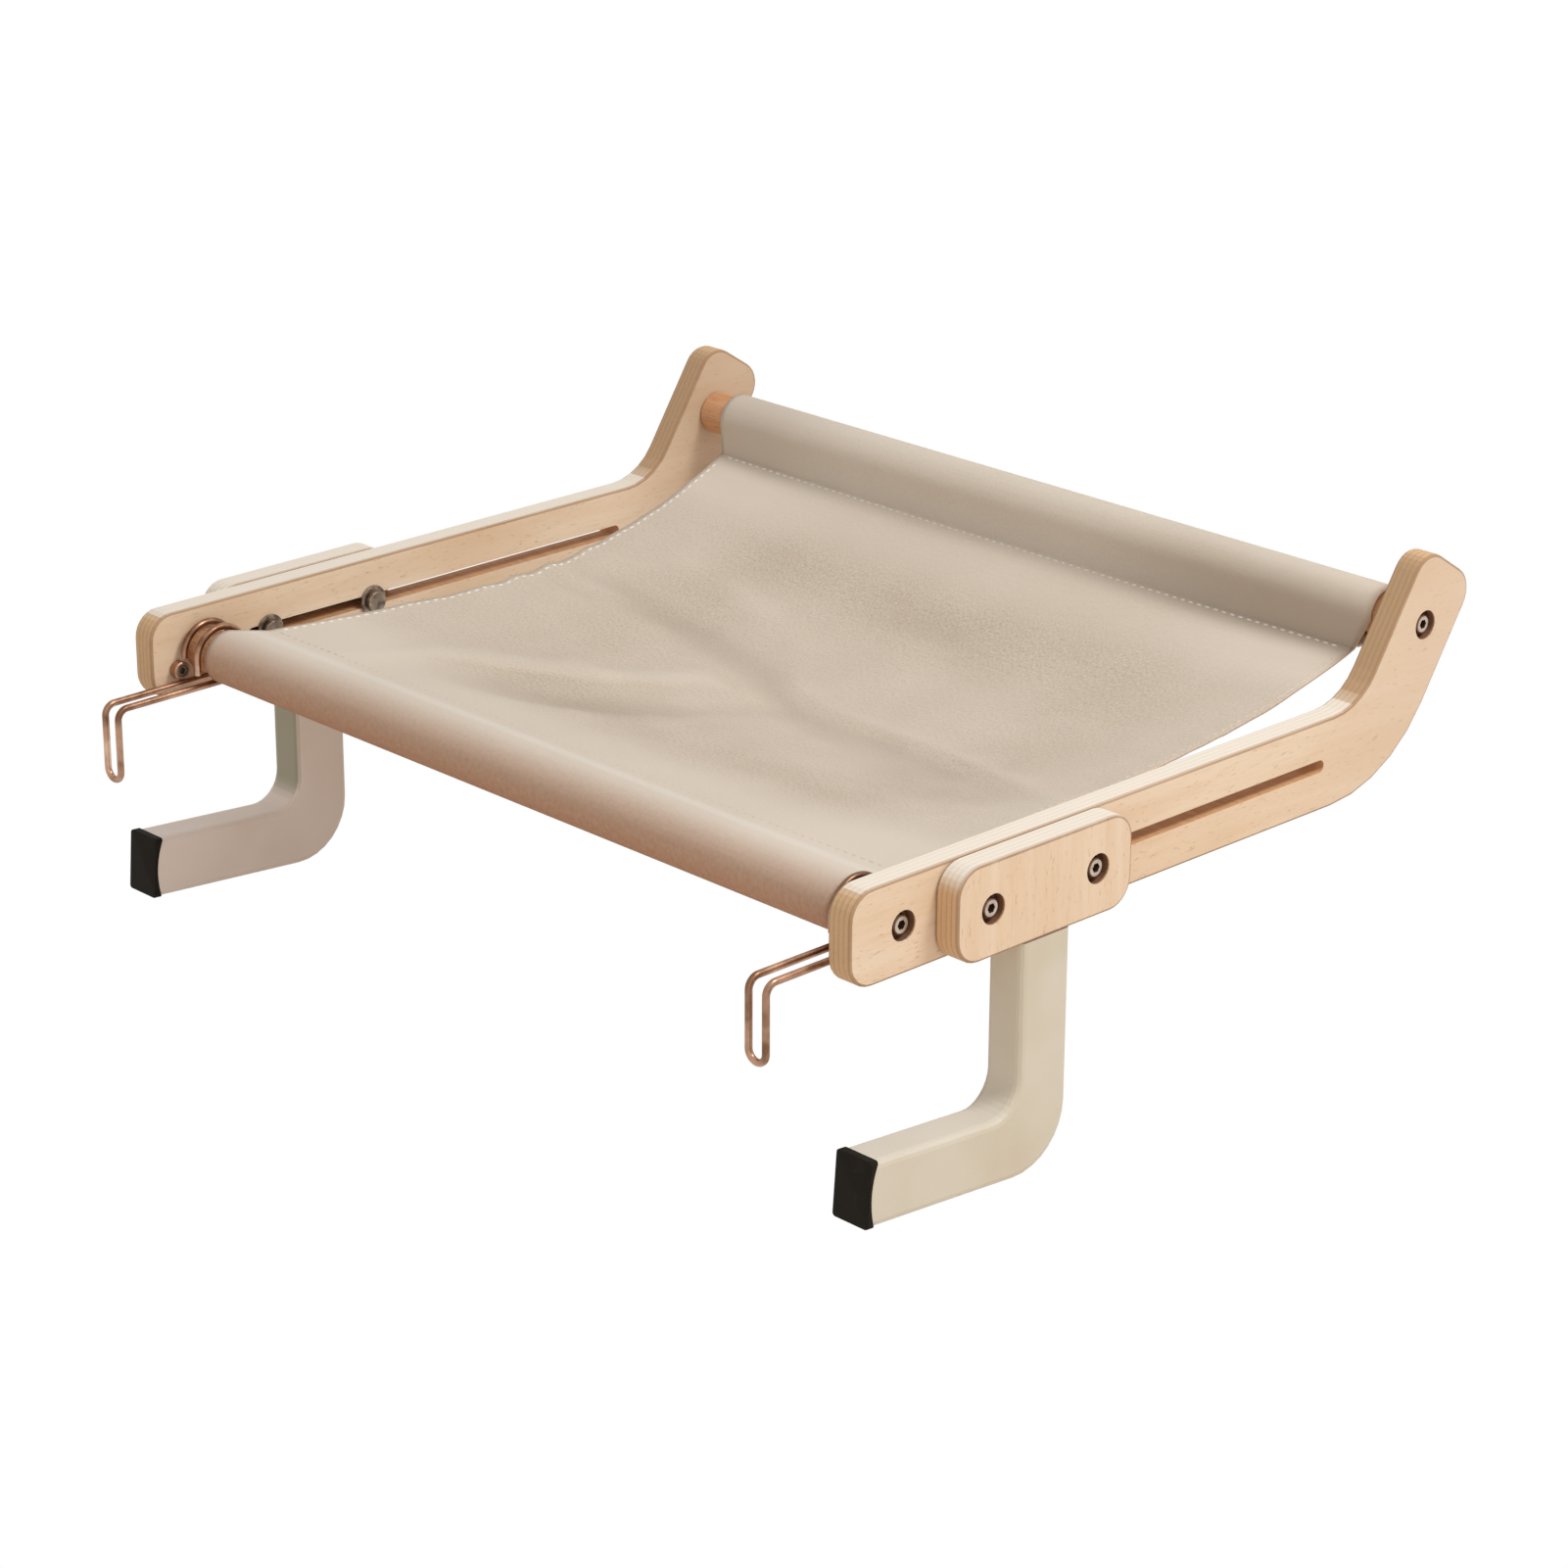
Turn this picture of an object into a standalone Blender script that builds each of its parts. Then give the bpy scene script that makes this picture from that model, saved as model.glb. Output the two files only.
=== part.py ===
# Cat window perch: two plywood side panels on two wooden dowels, a cloth sling between them,
# a bent steel leg clamped to each panel through its slot, and two wire hooks on the front dowel.
# Run: blender --background --python part.py
# Frame: metres, +X across the width along the dowels, +Y from the hooks to the raised back,
# +Z up, origin on the front dowel's axis at mid width.

import bpy
import bmesh
import math
from mathutils import Matrix, Vector

# Fits and overruns shared by all pieces
seat_gap = 0.0003            # air between pieces that touch
running_gap = 0.0003         # radial air round a bolt in its hole
cut_overrun = 0.002          # how far a cutter runs past the face it opens
turn_steps = 20              # sides of a turned piece
small_turn_steps = 16
dowel_steps = 32
rim_segments = 2             # of a rounded rim
corner_segments = 3          # of a tube's rounded corner
round_profile = 0.5          # a bevel's share that makes its section round
arc_step = math.radians(13)  # longest step along a rounded outline
smooth_angle = math.radians(35)
cloth_smooth_angle = math.radians(60)
rim_angle = math.radians(60)  # sharper edges than this are a piece's rims
weld_distance = 0.00001

# Frame of the bed
inner_width = 0.430          # between the side panels
ply_thickness = 0.012
strip_width = 0.0405         # height of a panel's flat run, and width of its raised arm
end_reach = 0.029            # panel end beyond each dowel's axis
end_corner_radius = 0.012
edge_round = 0.0012
rear_dowel_y = 0.315
rear_dowel_z = 0.047
arm_angle = math.radians(57)  # raised arm above the horizontal
bend_inner_radius = 0.030

# Slot along the flat run
slot_front_y = 0.025
slot_rear_y = 0.251

# Dowels and the bolts that hold them
dowel_diameter = 0.020
dowel_chamfer = 0.0006
bolt_diameter = 0.005
bolt_head_diameter = 0.0085
bolt_head_height = 0.004
bolt_head_inset = 0.0012     # head's top below the wood's face
counterbore_diameter = 0.013
hex_across_flats = 0.004
hex_depth = 0.0024
insert_diameter = 0.008
insert_length = 0.015
insert_groove = 0.0006
insert_grooves = 2
bolt_tip_chamfer = 0.0006

# Clamp block, plate and leg
block_length = 0.100
block_middle_y = 0.067
block_corner_radius = 0.012
clamp_bolt_spacing = 0.060
plate_thickness = 0.003
plate_length = 0.084
plate_height = 0.028
plate_corner_radius = 0.005
tongue_length = 0.022        # of the plate inside the leg
tube_width = 0.019           # along X
tube_depth = 0.028           # in the plane of the bend
tube_wall = 0.0015
tube_corner_radius = 0.003
leg_setback = 0.0016         # leg's middle behind the block's middle
leg_corner_drop = 0.1240     # outer corner of the bend below the dowel's axis
foot_rise = math.radians(4.4)
foot_reach = 0.0303          # end of the foot ahead of the dowel's axis
leg_outer_bend = 0.027
leg_inner_bend = 0.014
pad_flange = 0.0014
pad_plug_length = 0.009
pad_edge_round = 0.0004

# Washer and domed nut inside the panel
washer_diameter = 0.0142
washer_thickness = 0.0012
nut_diameter = 0.0100
nut_collar = 0.0020          # straight part of the nut
nut_dome = 0.0012            # domed part above it
nut_engagement = 0.0020      # bolt inside the nut
nut_dome_steps = 4

# Wire hooks, each with a lock: a threaded barrel on the outer wire's end, and a grub screw in it
wire_diameter = 0.0032
wire_pitch = 0.0095          # between the hook's two wires
hook_middle_inset = 0.0085   # hook's middle from the panel's inner face
hook_loop_front = 0.0020     # air between the dowel and the wire where the loop starts
hook_loop_back = 0.0007      # and where it runs into the arm
hook_arm_reach = 0.0578      # tail ahead of the dowel's axis
hook_tail_tip_z = -0.0475
hook_corner_radius = 0.005
wire_end_z = -0.0065         # lower end of the inner wire
lock_forward = 0.0156        # barrel ahead of the dowel's axis
lock_drop = 0.0063           # barrel below the dowel's axis
lock_barrel_diameter = 0.0082
lock_barrel_length = 0.0044
lock_barrel_chamfer = 0.0005
lock_screw_diameter = 0.005
lock_screw_length = 0.0038
lock_screw_inset = 0.0003    # socket end below the barrel's face
lock_hex_across_flats = 0.0028
lock_hex_depth = 0.0022
hook_loop_steps = 17
hook_corner_steps = 4
wire_roundness = 1           # the wire's bevel resolution

# Sling
cloth_thickness = 0.0015
sleeve_slack = 0.0008        # between the dowel and the cloth
sleeve_end_gap = 0.00215     # between a hook's inner wire and the sleeve's end
sling_waist = 0.010          # each side edge drawn in at mid length
front_seam_y = 0.024
front_seam_z = 0.006
rear_seam_y = 0.3045
rear_seam_z = 0.0315
sling_sag = 0.018            # middle below the side edges
front_slope = -0.03
rear_slope = 0.42
sag_length_power = 0.8       # how evenly the sag runs from dowel to dowel
sag_width_power = 2.4        # how evenly it runs from side to side
sling_columns = 17
column_crowding = 0.4        # how much closer the columns lie on the left, where the folds are
sheet_rows = 16
sleeve_arc_steps = 8
# Each fold follows a line of points over the sheet, given as shares of its width and its run
fold_path_shares = [
    ((-0.42, 0.02), (-0.34, 0.17), (-0.29, 0.28), (-0.24, 0.38), (-0.17, 0.47), (-0.05, 0.49)),
    ((-0.38, 0.13), (-0.27, 0.27), (-0.16, 0.33), (-0.06, 0.37), (0.03, 0.44)),
    ((-0.48, 0.62), (-0.38, 0.65), (-0.27, 0.66), (-0.11, 0.57), (0.09, 0.55), (0.39, 0.50)),
    ((-0.45, 0.71), (-0.23, 0.74), (-0.10, 0.67), (0.05, 0.63), (0.38, 0.58)),
]
fold_heights = (0.0036, -0.0036, -0.0032, 0.0018)
fold_half_widths = (0.014, 0.018, 0.014, 0.017)
fold_rise_power = 0.5        # how soon a fold rises from its ends and from the seams

# Sizes that follow from the ones above
dowel_radius = dowel_diameter / 2
panel_inner_x = inner_width / 2
panel_outer_x = panel_inner_x + ply_thickness
block_inner_x = panel_outer_x + seat_gap
block_outer_x = block_inner_x + ply_thickness
bolt_hole_radius = bolt_diameter / 2 + running_gap
slot_width = 2 * bolt_hole_radius
counterbore_depth = bolt_head_height + bolt_head_inset + seat_gap
hook_middle_x = panel_inner_x - hook_middle_inset
wire_radius = wire_diameter / 2
hook_arm_drop = dowel_radius + hook_loop_back + wire_radius
hook_room = hook_middle_inset + wire_pitch / 2 + wire_radius   # from a panel to its hook's inner side
sling_width = inner_width - 2 * (hook_room + sleeve_end_gap)
sheet_run = rear_seam_y - front_seam_y
washer_outer_x = panel_inner_x - seat_gap
nut_seat_x = washer_outer_x - washer_thickness - seat_gap
leg_top_z = -strip_width / 2 - seat_gap
leg_outer_x = block_outer_x - seat_gap
leg_middle_x = leg_outer_x - tube_width / 2
plate_inner_x = block_inner_x + seat_gap

side_view = (math.pi / 2, 0, math.pi / 2)   # an outline's own X and Y become world Y and Z


def clear_scene():
    for obj in list(bpy.data.objects):
        bpy.data.objects.remove(obj, do_unlink=True)


def make_collection(name):
    collection = bpy.data.collections.new(name)
    bpy.context.scene.collection.children.link(collection)
    return collection


def make_material(name, colour, roughness, metallic=0.0):
    material = bpy.data.materials.new(name)
    material.use_nodes = True
    shader = material.node_tree.nodes["Principled BSDF"]
    shader.inputs["Base Color"].default_value = (*colour, 1.0)
    shader.inputs["Roughness"].default_value = roughness
    shader.inputs["Metallic"].default_value = metallic
    return material


def add_object(name, data, collection, parent=None, location=(0, 0, 0), rotation=(0, 0, 0)):
    obj = bpy.data.objects.new(name, data)
    collection.objects.link(obj)
    obj.parent = parent
    obj.location = location
    obj.rotation_euler = rotation
    return obj


def add_empty(name, collection, location):
    empty = add_object(name, None, collection, location=location)
    empty.empty_display_size = dowel_diameter
    return empty


def finished_mesh(obj, name):
    # The mesh that the object's modifiers or curve make, in the object's own frame
    bpy.context.view_layer.update()
    graph = bpy.context.evaluated_depsgraph_get()
    mesh = bpy.data.meshes.new_from_object(obj.evaluated_get(graph))
    mesh.name = name
    bpy.data.objects.remove(obj, do_unlink=True)
    return mesh


def smooth(mesh, angle=smooth_angle):
    mesh.shade_smooth()
    mesh.set_sharp_from_angle(angle=angle)
    return mesh


# Outlines

def filleted(corners):
    # Closed outline through (u, v, radius) corners, each rounded by its radius
    points = []
    count = len(corners)
    for index in range(count):
        u, v, radius = corners[index]
        here = Vector((u, v))
        back = Vector(corners[index - 1][:2]) - here
        ahead = Vector(corners[(index + 1) % count][:2]) - here
        if radius == 0:
            points.append((u, v))
            continue
        back.normalize()
        ahead.normalize()
        half = back.angle(ahead) / 2
        middle = here + (back + ahead).normalized() * (radius / math.sin(half))
        first = here + back * (radius / math.tan(half)) - middle
        sweep = math.pi - 2 * half
        turn = 1 if back.x * ahead.y - back.y * ahead.x < 0 else -1
        steps = max(2, math.ceil(sweep / arc_step))
        for step in range(steps + 1):
            angle = turn * sweep * step / steps
            spun = Matrix.Rotation(angle, 2) @ first
            points.append(tuple(middle + spun))
    return points


def plate_mesh(name, outline, thickness):
    # A flat outline in its own XY plane, thickened evenly to both sides
    curve = bpy.data.curves.new(name, "CURVE")
    curve.dimensions = "2D"
    curve.fill_mode = "BOTH"
    curve.extrude = thickness / 2
    spline = curve.splines.new("POLY")
    spline.points.add(len(outline) - 1)
    for point, (u, v) in zip(spline.points, outline):
        point.co = (u, v, 0, 1)
    spline.use_cyclic_u = True
    mesh = finished_mesh(add_object(name, curve, bpy.context.scene.collection), name)
    shape = bmesh.new()
    shape.from_mesh(mesh)
    bmesh.ops.remove_doubles(shape, verts=shape.verts, dist=weld_distance)
    for flat in (1, -1):
        cap = [face for face in shape.faces if all(vert.co.z * flat > 0 for vert in face.verts)]
        bmesh.ops.dissolve_faces(shape, faces=cap)
    bmesh.ops.recalc_face_normals(shape, faces=shape.faces)
    shape.to_mesh(mesh)
    shape.free()
    return mesh


def round_rims(mesh, width, segments):
    # Rounds the edges where a plate's flat faces meet its sides
    shape = bmesh.new()
    shape.from_mesh(mesh)
    rims = [edge for edge in shape.edges if edge.calc_face_angle(0) > rim_angle
            and abs(edge.verts[0].co.z - edge.verts[1].co.z) < width]
    bmesh.ops.bevel(shape, geom=rims, offset=width, segments=segments, profile=round_profile,
                    affect="EDGES", clamp_overlap=True, material=-1)
    shape.to_mesh(mesh)
    shape.free()
    return mesh


# Solids

def turned_mesh(name, profile, steps=turn_steps):
    # A turned piece from (radius, height) points that run down its outer side
    wire = bpy.data.meshes.new(name)
    points = [(radius, 0, height) for radius, height in profile]
    edges = [(index, index + 1) for index in range(len(points) - 1)]
    if points[0] == points[-1]:
        points.pop()
        edges[-1] = (len(points) - 1, 0)
    wire.from_pydata(points, edges, [])
    obj = add_object(name, wire, bpy.context.scene.collection)
    screw = obj.modifiers.new("turn", "SCREW")
    screw.axis = "Z"
    screw.angle = 2 * math.pi
    screw.steps = steps
    screw.render_steps = steps
    screw.use_merge_vertices = True
    screw.merge_threshold = weld_distance
    return smooth(finished_mesh(obj, name))


def rod_mesh(name, radius, length, steps=turn_steps, chamfer=0):
    shape = bmesh.new()
    bmesh.ops.create_cone(shape, cap_ends=True, segments=steps, radius1=radius,
                          radius2=radius, depth=length)
    if chamfer:
        rims = [edge for edge in shape.edges if edge.calc_face_angle(0) > rim_angle]
        bmesh.ops.bevel(shape, geom=rims, offset=chamfer, segments=1, profile=round_profile,
                        affect="EDGES", clamp_overlap=True, material=-1)
    mesh = bpy.data.meshes.new(name)
    shape.to_mesh(mesh)
    shape.free()
    return smooth(mesh)


def cut(obj, cutter):
    boolean = obj.modifiers.new(cutter.name, "BOOLEAN")
    boolean.operation = "DIFFERENCE"
    boolean.solver = "EXACT"
    boolean.object = cutter
    cutter.hide_render = True
    cutter.display_type = "WIRE"


def socketed(name, profile, flats, socket_depth):
    # A turned piece with a hexagon socket in its top, at height zero
    body = add_object(name, turned_mesh(name, profile), bpy.context.scene.collection)
    hexagon = bmesh.new()
    bmesh.ops.create_cone(hexagon, cap_ends=True, segments=6, radius1=flats / math.sqrt(3),
                          radius2=flats / math.sqrt(3), depth=2 * socket_depth)
    socket_mesh = bpy.data.meshes.new(name + "_socket")
    hexagon.to_mesh(socket_mesh)
    hexagon.free()
    socket = add_object(name + "_socket", socket_mesh, bpy.context.scene.collection)
    cut(body, socket)
    mesh = finished_mesh(body, name)
    bpy.data.objects.remove(socket, do_unlink=True)
    return smooth(mesh)


def bolt_mesh(name, length):
    # Socket-head screw, head's top at height zero and shank running down
    head = bolt_head_diameter / 2
    shank = bolt_diameter / 2
    chamfer = bolt_tip_chamfer
    profile = [
        (0, 0),
        (head - chamfer, 0),
        (head, -chamfer),
        (head, -bolt_head_height),
        (shank, -bolt_head_height),
        (shank, -length + chamfer),
        (shank - chamfer, -length),
        (0, -length),
    ]
    return socketed(name, profile, hex_across_flats, hex_depth)


def stepped_hole_mesh(name, depth):
    # Cutter for a bolt and its sunk head, with the wood's face at height zero
    hole = bolt_hole_radius
    sink = counterbore_diameter / 2
    profile = [
        (0, cut_overrun),
        (sink, cut_overrun),
        (sink, -counterbore_depth),
        (hole, -counterbore_depth),
        (hole, -depth - cut_overrun),
        (0, -depth - cut_overrun),
    ]
    return turned_mesh(name, profile)


# Side panels

def panel_outline():
    half = strip_width / 2
    along = Vector((math.cos(arm_angle), math.sin(arm_angle)))
    across = Vector((-along.y, along.x)) * half
    dowel = Vector((rear_dowel_y, rear_dowel_z))
    end = dowel + along * end_reach

    def meet(height, shift):
        start = dowel + shift
        return start.x + (height - start.y) * along.x / along.y

    return filleted([
        (-end_reach, -half, end_corner_radius),
        (meet(-half, -across), -half, bend_inner_radius + strip_width),
        (*(end - across), end_corner_radius),
        (*(end + across), end_corner_radius),
        (meet(half, across), half, bend_inner_radius),
        (-end_reach, half, end_corner_radius),
    ])


def slot_outline():
    half = slot_width / 2
    return filleted([
        (slot_front_y, -half, half),
        (slot_rear_y, -half, half),
        (slot_rear_y, half, half),
        (slot_front_y, half, half),
    ])


def outward(side):
    # Turns a piece's own +Z to the outside of the given side
    return (0, side * math.pi / 2, 0)


def make_panel(side, label, parts, cutters, material):
    middle_x = side * (panel_inner_x + ply_thickness / 2)
    mesh = plate_mesh("side_panel_" + label, panel_outline(), ply_thickness)
    round_rims(mesh, edge_round, rim_segments)
    smooth(mesh)
    mesh.materials.append(material)
    panel = add_object("side_panel_" + label, mesh, parts, location=(middle_x, 0, 0), rotation=side_view)
    slot = add_object("slot_cutter_" + label,
                      plate_mesh("slot_cutter", slot_outline(), ply_thickness + 2 * cut_overrun),
                      cutters, location=(middle_x, 0, 0), rotation=side_view)
    cut(panel, slot)
    for place, y, z in (("front", 0, 0), ("rear", rear_dowel_y, rear_dowel_z)):
        hole = add_object("panel_hole_" + place + "_" + label,
                          stepped_hole_mesh("panel_hole", ply_thickness), cutters,
                          location=(side * panel_outer_x, y, z), rotation=outward(side))
        cut(panel, hole)


# Dowels, their threaded inserts and the four bolts

def make_dowels(parts, cutters, wood, steel, dark_steel):
    length = inner_width - 2 * seat_gap
    pocket = insert_length + 2 * seat_gap
    bolt_length = bolt_head_height + (ply_thickness - counterbore_depth) + seat_gap + insert_length
    bolt = bolt_mesh("frame_bolt", bolt_length)
    bolt.materials.append(steel)
    insert = insert_mesh()
    insert.materials.append(dark_steel)
    for place, y, z in (("front", 0, 0), ("rear", rear_dowel_y, rear_dowel_z)):
        mesh = rod_mesh(place + "_dowel", dowel_radius, length, dowel_steps, dowel_chamfer)
        mesh.materials.append(wood)
        dowel = add_object(place + "_dowel", mesh, parts, location=(0, y, z), rotation=outward(1))
        for side, label in ((-1, "left"), (1, "right")):
            end_x = side * length / 2
            hole = add_object("insert_hole_" + place + "_" + label,
                              rod_mesh("insert_hole", insert_diameter / 2 + seat_gap,
                                       pocket + cut_overrun),
                              cutters, rotation=outward(side),
                              location=(end_x - side * (pocket - cut_overrun) / 2, y, z))
            cut(dowel, hole)
            add_object("dowel_insert_" + place + "_" + label, insert, parts,
                       location=(end_x, y, z), rotation=outward(side))
            add_object("frame_bolt_" + place + "_" + label, bolt, parts,
                       location=(side * (panel_outer_x - bolt_head_inset), y, z), rotation=outward(side))


def insert_mesh():
    # Ribbed threaded bush, open at both ends, outer face at height zero
    outer = insert_diameter / 2
    bore = bolt_diameter / 2 + running_gap
    profile = [(bore, 0)]
    rib = insert_length / (2 * insert_grooves + 1)
    for index in range(insert_grooves + 1):
        top = -2 * index * rib
        profile.append((outer, top))
        profile.append((outer, top - rib))
        if index < insert_grooves:
            profile.append((outer - insert_groove, top - rib))
            profile.append((outer - insert_groove, top - 2 * rib))
    profile.append((bore, -insert_length))
    profile.append((bore, 0))
    return turned_mesh("dowel_insert", profile, small_turn_steps)


# Clamps: block, plate, leg, end pad, bolts, washers and nuts

def block_outline():
    half_length = block_length / 2
    half = strip_width / 2
    radius = block_corner_radius
    return filleted([
        (-half_length, -half, radius),
        (half_length, -half, radius),
        (half_length, half, radius),
        (-half_length, half, radius),
    ])


def plate_outline(margin, bottom_z):
    # The plate lies in the block, and its tongue runs down into the leg
    half_length = plate_length / 2 + margin
    half = plate_height / 2 + margin
    half_tongue = tube_depth / 2 - tube_wall - seat_gap + margin
    radius = plate_corner_radius
    return filleted([
        (-half_length, -half, radius),
        (leg_setback - half_tongue, -half, 0),
        (leg_setback - half_tongue, bottom_z, 0),
        (leg_setback + half_tongue, bottom_z, 0),
        (leg_setback + half_tongue, -half, 0),
        (half_length, -half, radius),
        (half_length, half, radius),
        (-half_length, half, radius),
    ])


def leg_frame():
    # The foot's direction, and the leg's outer corner, in the leg's own side view
    toe = Vector((-math.cos(foot_rise), math.sin(foot_rise)))
    corner = Vector((tube_depth / 2, -leg_corner_drop))
    up = Vector((math.sin(foot_rise), math.cos(foot_rise)))
    run = (foot_reach + block_middle_y + leg_setback + corner.x) / math.cos(foot_rise) - pad_flange
    return toe, corner, up, run


def leg_outline(extra):
    # Side view of the bent tube, run on past both cut ends by the given length
    toe, corner, up, run = leg_frame()
    depth = tube_depth
    toe_low = corner + toe * (run + extra)
    toe_high = toe_low + up * depth
    inner_x = -depth / 2
    inner_run = (inner_x - toe_high.x) / -toe.x
    inner_z = toe_high.y - toe.y * inner_run
    top = leg_top_z + extra
    return filleted([
        (*toe_low, 0),
        (*corner, leg_outer_bend),
        (depth / 2, top, 0),
        (inner_x, top, 0),
        (inner_x, inner_z, leg_inner_bend),
        (*toe_high, 0),
    ])


def leg_mesh(name):
    toe, corner, up, run = leg_frame()
    extra = 2 * tube_corner_radius
    mesh = plate_mesh(name, leg_outline(extra), tube_width)
    round_rims(mesh, tube_corner_radius, corner_segments)
    shape = bmesh.new()
    shape.from_mesh(mesh)
    ends = (
        (Vector((0, leg_top_z, 0)), Vector((0, 1, 0))),
        (Vector((*(corner + toe * run), 0)), Vector((*toe, 0))),
    )
    for point, normal in ends:
        geometry = shape.verts[:] + shape.edges[:] + shape.faces[:]
        bmesh.ops.bisect_plane(shape, geom=geometry, dist=weld_distance / 10, plane_co=point,
                               plane_no=normal, clear_outer=True)
    shape.to_mesh(mesh)
    shape.free()
    return smooth(mesh)


def pad_mesh(name):
    # Moulded end pad: a flange over the tube's end and a plug inside it, face at height zero
    wide = tube_width
    deep = tube_depth
    shape = bmesh.new()
    bmesh.ops.create_cube(shape, size=1)
    bmesh.ops.scale(shape, vec=(wide, deep, pad_flange), verts=shape.verts)
    bmesh.ops.translate(shape, vec=(0, 0, -pad_flange / 2), verts=shape.verts)
    uprights = [edge for edge in shape.edges
                if abs(edge.verts[0].co.z - edge.verts[1].co.z) > pad_flange / 2]
    bmesh.ops.bevel(shape, geom=uprights, offset=tube_corner_radius, segments=corner_segments,
                    profile=round_profile, affect="EDGES", clamp_overlap=True, material=-1)
    shape.faces.ensure_lookup_table()
    back = min(shape.faces, key=lambda face: face.calc_center_median().z)
    bmesh.ops.inset_region(shape, faces=[back], thickness=tube_wall + seat_gap, depth=0)
    plug = bmesh.ops.extrude_face_region(shape, geom=[back])
    moved = [item for item in plug["geom"] if isinstance(item, bmesh.types.BMVert)]
    bmesh.ops.translate(shape, vec=(0, 0, -pad_plug_length), verts=moved)
    bmesh.ops.delete(shape, geom=[back], context="FACES_ONLY")
    front = max(shape.faces, key=lambda face: face.calc_center_median().z)
    bmesh.ops.bevel(shape, geom=list(front.edges), offset=pad_edge_round, segments=rim_segments,
                    profile=round_profile, affect="EDGES", clamp_overlap=True, material=-1)
    bmesh.ops.recalc_face_normals(shape, faces=shape.faces)
    mesh = bpy.data.meshes.new(name)
    shape.to_mesh(mesh)
    shape.free()
    return smooth(mesh)


def washer_mesh():
    outer = washer_diameter / 2
    bore = bolt_hole_radius
    profile = [(bore, 0), (outer, 0), (outer, -washer_thickness), (bore, -washer_thickness), (bore, 0)]
    return turned_mesh("clamp_washer", profile)


def nut_mesh():
    # Domed nut with a blind bore, seat at height zero, dome running down
    outer = nut_diameter / 2
    bore = bolt_hole_radius
    crown = nut_collar + nut_dome
    bore_depth = nut_engagement + seat_gap
    profile = [(0, -bore_depth), (bore, -bore_depth), (bore, 0), (outer, 0), (outer, -nut_collar)]
    for step in range(1, nut_dome_steps + 1):
        angle = step / nut_dome_steps * math.pi / 2
        profile.append((outer * math.cos(angle), -nut_collar - nut_dome * math.sin(angle)))
    profile[-1] = (0, -crown)
    return turned_mesh("clamp_nut", profile)


def make_clamp(side, label, parts, cutters, materials, fasteners):
    carrier = add_empty("clamp_" + label, parts, (side * block_inner_x, block_middle_y, 0))

    def place(x):
        return x - side * block_inner_x

    middle_x = side * (block_inner_x + ply_thickness / 2)
    mesh = plate_mesh("clamp_block_" + label, block_outline(), ply_thickness)
    round_rims(mesh, edge_round, rim_segments)
    smooth(mesh)
    mesh.materials.append(materials["ply"])
    block = add_object("clamp_block_" + label, mesh, parts, carrier, (place(middle_x), 0, 0), side_view)

    half_plate = plate_thickness / 2
    plate_x = side * (plate_inner_x + half_plate)
    plate_bottom = leg_top_z - tongue_length
    mesh = plate_mesh("clamp_plate_" + label, plate_outline(0, plate_bottom), plate_thickness)
    mesh.materials.append(materials["steel"])
    plate = add_object("clamp_plate_" + label, mesh, parts, carrier, (place(plate_x), 0, 0), side_view)

    recess_thickness = plate_thickness + 2 * seat_gap + cut_overrun
    recess_middle = side * (block_inner_x - cut_overrun + recess_thickness / 2)
    recess = add_object("plate_recess_" + label,
                        plate_mesh("plate_recess", plate_outline(seat_gap, plate_bottom), recess_thickness),
                        cutters, carrier, (place(recess_middle), 0, 0), side_view)
    cut(block, recess)

    for end, y in (("front", -clamp_bolt_spacing / 2), ("rear", clamp_bolt_spacing / 2)):
        hole = add_object("block_hole_" + end + "_" + label, stepped_hole_mesh("block_hole", ply_thickness),
                          cutters, carrier, (place(side * block_outer_x), y, 0), outward(side))
        cut(block, hole)
        bore = add_object("plate_hole_" + end + "_" + label,
                          rod_mesh("plate_hole", bolt_hole_radius, plate_thickness + 2 * cut_overrun),
                          cutters, carrier, (place(plate_x), y, 0), outward(side))
        cut(plate, bore)
        add_object("clamp_bolt_" + end + "_" + label, fasteners["bolt"], parts, carrier,
                   (place(side * (block_outer_x - bolt_head_inset)), y, 0), outward(side))
        add_object("clamp_washer_" + end + "_" + label, fasteners["washer"], parts, carrier,
                   (place(side * washer_outer_x), y, 0), outward(side))
        add_object("clamp_nut_" + end + "_" + label, fasteners["nut"], parts, carrier,
                   (place(side * nut_seat_x), y, 0), outward(side))

    mesh = leg_mesh("leg_tube_" + label)
    mesh.materials.append(materials["paint"])
    leg = add_object("leg_tube_" + label, mesh, parts, carrier,
                     (place(side * leg_middle_x), leg_setback, 0), side_view)
    wall = leg.modifiers.new("wall", "SOLIDIFY")
    wall.thickness = tube_wall
    wall.offset = -1
    wall.use_even_offset = True
    wall.use_quality_normals = True

    toe, corner, up, run = leg_frame()
    end_middle = corner + toe * (run + pad_flange) + up * (tube_depth / 2)
    mesh = pad_mesh("leg_end_pad_" + label)
    mesh.materials.append(materials["rubber"])
    add_object("leg_end_pad_" + label, mesh, parts, carrier,
               (place(side * leg_middle_x), leg_setback + end_middle.x, end_middle.y),
               (math.pi / 2 - foot_rise, 0, 0))


def clamp_fasteners(steel, bronze):
    # Bolt from the sunk head through block, plate, slot and washer into the domed nut
    grip = block_outer_x - bolt_head_inset - nut_seat_x
    fasteners = {
        "bolt": bolt_mesh("clamp_bolt", grip + nut_engagement),
        "washer": washer_mesh(),
        "nut": nut_mesh(),
    }
    fasteners["bolt"].materials.append(steel)
    fasteners["washer"].materials.append(bronze)
    fasteners["nut"].materials.append(bronze)
    return fasteners


# Hooks

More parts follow.
